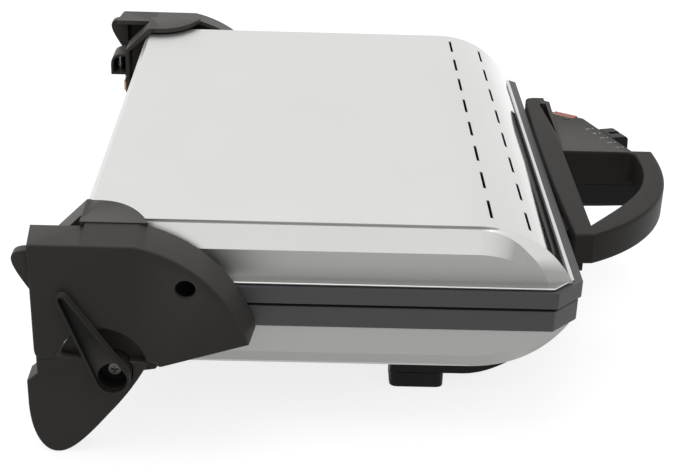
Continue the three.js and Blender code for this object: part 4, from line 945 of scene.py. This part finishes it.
def handlePiece():
    g, k, n = grip, knob, lens
    front, clear = g["front"], k["clear"]
    right, ahead, below, above = g["beyond"]
    levels = [(handlePlan(0), g["low"])]
    for i in range(g["edgeSteps"] + 1):
        angle = i * pi / 2 / g["edgeSteps"]
        level, inset = g["top"] - g["edge"] * (1 - sin(angle)), g["edge"] * (1 - cos(angle))
        over = max(0, level - g["top"] + g["barEdge"])
        levels.append((handlePlan(inset, g["barEdge"] - sqrt(g["barEdge"] ** 2 - over ** 2)), level))
    shape = lofted("handleShell", levels)
    deep = slab("deepPart", handlePlan(0), g["split"], g["low"] + 5)
    combine(deep, block("farHalf", g["boxNear"], right, ahead, front, -above, above), "INTERSECT")
    joined(shape, deep)
    for sign in sides.values():
        x = sign * g["lugX"]
        joined(shape, soften(block("lug", x - g["lugHalf"], x + g["lugHalf"], *g["lug"]), ease["soft"]))
    joined(shape, block("hook", *g["hook"]))
    slit = slab("slit", [(x, front) for x in g["slit"]] + bend(*((x, front + y) for x, y in g["slitEnd"]), 5),
                below, above)
    without(shape, fingerRoom(), slit, *abovePanel(0))
    inside = slab("inside", handlePlan(g["wall"]), below, g["top"])
    combine(inside, block("insideHalf", g["boxNear"] + g["wall"], right, ahead, panel["back"] - g["wall"],
                          below, above), "INTERSECT")
    without(inside, *abovePanel(g["wall"]))
    start = nearCorner + sideEdge[0] * (knobMiddle - k["travel"][0] - k["stemWide"] / 2 - clear)
    without(shape, inside,
            alongEdge("knobSlot", stemSection(k["stemThick"] + 2 * clear, 2 * k["stemLong"], k["stemLong"]),
                      sideEdge, start, sum(k["travel"]) + k["stemWide"] + 2 * clear),
            alongEdge("lensSeat", lensSection(n["gap"], 20), cornerEdge, lensStart - cornerEdge[0] * n["gap"],
                      n["length"] + 2 * n["gap"]),
            rod("readySeat", *g["ready"], g["split"], above, at, 28))
    for sign in sides.values():
        without(shape, rod("studBore", sign * g["lugX"], *g["stud"], facing, 24))
    finished(soften(shape, g["fineEdge"], 2, 40), "lid", "gripPlastic", "handle", angle=20)


def boxForm(name, inset, top):
    g = grip
    low, crown, rear = g["boxLow"] + inset, g["front"] - g["reach"] + inset, g["front"] - inset
    near, far, turn = g["boxNear"] + inset, g["half"] - inset, g["round"] - inset
    piece = slab(name, handlePlan(inset), low, top)
    combine(piece, slab("lengthwise", rounded([
        (rear, low, turn), (rear, top + 1), (crown, top + 1), (crown, low + g["boxRise"], turn)], 10),
        near, far, upright), "INTERSECT")
    return combine(piece, slab("across", rounded([
        (near, low, turn / 2), (far, low, turn), (far, top + 1), (near, top + 1)], 10),
        crown, rear, facing), "INTERSECT")


def controlBox():
    top = grip["split"] - grip["gap"]
    box = boxForm("controlBox", 0, top)
    without(box, boxForm("boxRoom", grip["wall"], top + 3), *abovePanel(0))
    finished(soften(box, ease["small"], 2, 40), "lid", "basePlastic", "control_box")


def sliderKnob():
    k = knob
    gap, high, low = k["gap"] / sin(facet), k["high"], k["low"]
    start = nearCorner + sideEdge[0] * (knobMiddle - k["length"] / 2)
    section = rounded([(high / tan(facet) + gap, high), (k["reach"], high, k["round"]),
                       (k["reach"], low, k["round"]), (low / tan(facet) + gap, low)], 6)
    piece = soften(alongEdge("sliderKnob", section, sideEdge, start, k["length"]), k["edge"], 3, 40)
    without(piece, alongEdge("saddle", oblong(*k["saddle"]), sideEdge,
                             start + sideEdge[0] * (k["length"] - k["saddleWide"]) / 2, k["saddleWide"]))
    stem = alongEdge("stem", stemSection(k["stemThick"], k["stemLong"], k["stemThick"]), sideEdge,
                     nearCorner + sideEdge[0] * (knobMiddle - k["stemWide"] / 2), k["stemWide"])
    finished(joined(piece, stem), "knob", "basePlastic", "slider_knob")


def lampWindow():
    n = lens
    window = alongEdge("heatingLens", lensSection(0, n["proud"]), cornerEdge, lensStart, n["length"])
    for share in n["stripes"]:
        u = -n["in"] + share * (n["in"] + n["out"])
        stripe = oblong(u - n["stripeHalf"], u + n["stripeHalf"], -2, n["stripeLow"])
        without(window, alongEdge("stripe", stripe, cornerEdge, lensStart - cornerEdge[0], n["length"] + 2))
    finished(soften(window, n["edge"]), "lid", "redLamp", "heating_lens", angle=30)


# Plain scale: a number and a dot at each of the slider's places.
def scaleMarks():
    m = marks
    run, out, down = sideEdge[:3]
    turn = Matrix((run, -out, -down)).transposed()
    for i in range(m["count"]):
        share = i / (m["count"] - 1)
        spot = onPanel(*(a + (b - a) * share for a, b in zip(m["first"], m["last"])))
        take()
        bpy.ops.object.text_add()
        label = bpy.context.object
        label.data.body = str(i + 1)
        label.data.size = m["size"] / 1000
        label.data.extrude = m["thick"] / 1000
        label.data.align_x, label.data.align_y = "CENTER", "CENTER"
        bpy.ops.object.convert(target="MESH")
        label = latest("mark" + str(i + 1))
        label.matrix_world = Matrix.Translation(at(*spot)) @ turn.to_4x4()
        bpy.ops.object.transform_apply(location=True, rotation=True, scale=True)
        finished(label, "lid", "markPaint", angle=30)
        dot = alongEdge("dot" + str(i + 1), arc(0, 0, m["dot"], 0, 2 * pi, 16), (-down, run, out),
                        spot + out * m["dotOff"], m["dotThick"])
        finished(dot, "lid", "markPaint", angle=30)


handlePiece()
controlBox()
sliderKnob()
lampWindow()
scaleMarks()
print("handle and controls made")

# Cooking frames and other plain castings keep the shape of the frame, with eased edges.
eased = {"upper_frame": ("lid", "frameCoat", 0.7), "lower_frame": ("base", "frameCoat", 0.7),
         "upper_plate": ("lid", "plateCoat", 0.4), "lower_plate": ("base", "plateCoat", 0.4),
         "base_plate": ("base", "basePlastic", 0.6)}
pairs = {"float_block_": ("lid", "plated", 0.5), "arm_plate_": ("arms", "plated", 0.3),
         "strap_clip_": ("arms", "copperBit", 0.5)}
eased.update({part + side: work for part, work in pairs.items() for side in sides})
for node, (body, look, width) in eased.items():
    first, *words = node.split("_")
    name = first + "".join(word.capitalize() for word in words) + "Eased"
    finished(easedCopy(node, name, width), body, look, node, angle=30)
print("castings eased", len(eased))

# Camera fitted to the photograph, floor, background and lamp.
view = {"place": (-0.8475, 0.0357, 0.463), "yaw": -1.344, "pitch": 26.321, "roll": 1.94, "lens": 75.34,
        "sensor": 36}
studio = {"floor": 0.25, "floorSize": 30, "glow": 0.82, "horizon": 0.1, "low": 0.45, "lowAt": 0.3,
          "high": 1.0, "highAt": 0.42, "key": 9.0, "lamp": (0.05, 0.2, 1.4), "lampSize": (1.4, 1.0)}


def photoCamera():
    yaw, pitch, roll = (radians(view[key]) for key in ("yaw", "pitch", "roll"))
    ahead = Vector((cos(pitch) * cos(yaw), cos(pitch) * sin(yaw), -sin(pitch)))
    level = Vector((sin(yaw), -cos(yaw), 0))
    rise = level.cross(ahead)
    right = cos(roll) * level + sin(roll) * rise
    up = -sin(roll) * level + cos(roll) * rise
    data = bpy.data.cameras.new("camera")
    data.lens = view["lens"]
    data.sensor_width = view["sensor"]
    camera = bpy.data.objects.new("camera", data)
    bpy.context.scene.collection.objects.link(camera)
    turn = Matrix((right, up, -ahead)).transposed()
    camera.matrix_world = Matrix.Translation(view["place"]) @ turn.to_4x4()
    bpy.context.scene.camera = camera


# One for every ray that shows the background: from the camera, mirrored or passed through.
def shownRays(tree):
    path = wired(tree, "LightPath").outputs
    seen = maths(tree, "MAXIMUM", path["Is Camera Ray"], path["Is Glossy Ray"])
    return maths(tree, "MAXIMUM", seen, path["Is Transmission Ray"])


def emptied(owner):
    owner.use_nodes = True
    owner.node_tree.nodes.clear()
    return owner.node_tree


def grey(level):
    return paint(level, level, level)


def studioFloor():
    take()
    bpy.ops.mesh.primitive_plane_add(size=studio["floorSize"])
    floor = bpy.context.object
    floor.name = "floor"
    material = bpy.data.materials.new("floorPaint")
    tree = emptied(material)
    diffuse = wired(tree, "BsdfDiffuse", {"Color": grey(studio["floor"])}).outputs[0]
    lift = maths(tree, "MULTIPLY", shownRays(tree), studio["glow"])
    glow = wired(tree, "Emission", {"Strength": lift}).outputs[0]
    both = wired(tree, "AddShader", {0: diffuse, 1: glow}).outputs[0]
    wired(tree, "OutputMaterial", {"Surface": both})
    floor.data.materials.append(material)


def studioWorld():
    s = studio
    world = bpy.data.worlds.new("studio")
    bpy.context.scene.world = world
    tree = emptied(world)
    place = wired(tree, "TexCoord").outputs["Generated"]
    height = wired(tree, "SeparateXYZ", {0: place}).outputs["Z"]
    ramp = wired(tree, "ValToRGB", {"Fac": height})
    first, last = ramp.color_ramp.elements
    first.color = grey(s["horizon"])
    last.color, last.position = grey(s["high"]), s["highAt"]
    ramp.color_ramp.elements.new(s["lowAt"]).color = grey(s["low"])
    soft = wired(tree, "Background", {"Color": ramp.outputs["Color"]}).outputs[0]
    seen = wired(tree, "Background", {"Color": grey(1)}).outputs[0]
    pick = wired(tree, "MixShader", {0: shownRays(tree), 1: soft, 2: seen}).outputs[0]
    wired(tree, "OutputWorld", {"Surface": pick})


def studioLamp():
    lamp = bpy.data.lights.new("overhead", "AREA")
    lamp.shape = "RECTANGLE"
    lamp.size, lamp.size_y = studio["lampSize"]
    lamp.energy = studio["key"]
    holder = bpy.data.objects.new("overhead", lamp)
    bpy.context.scene.collection.objects.link(holder)
    holder.matrix_world = Matrix.Translation(studio["lamp"])
    holder.rotation_euler = Vector(studio["lamp"]).to_track_quat("Z", "Y").to_euler()


photoCamera()
studioFloor()
studioWorld()
studioLamp()
bpy.context.scene.view_settings.view_transform = "Standard"
print("camera and studio set")
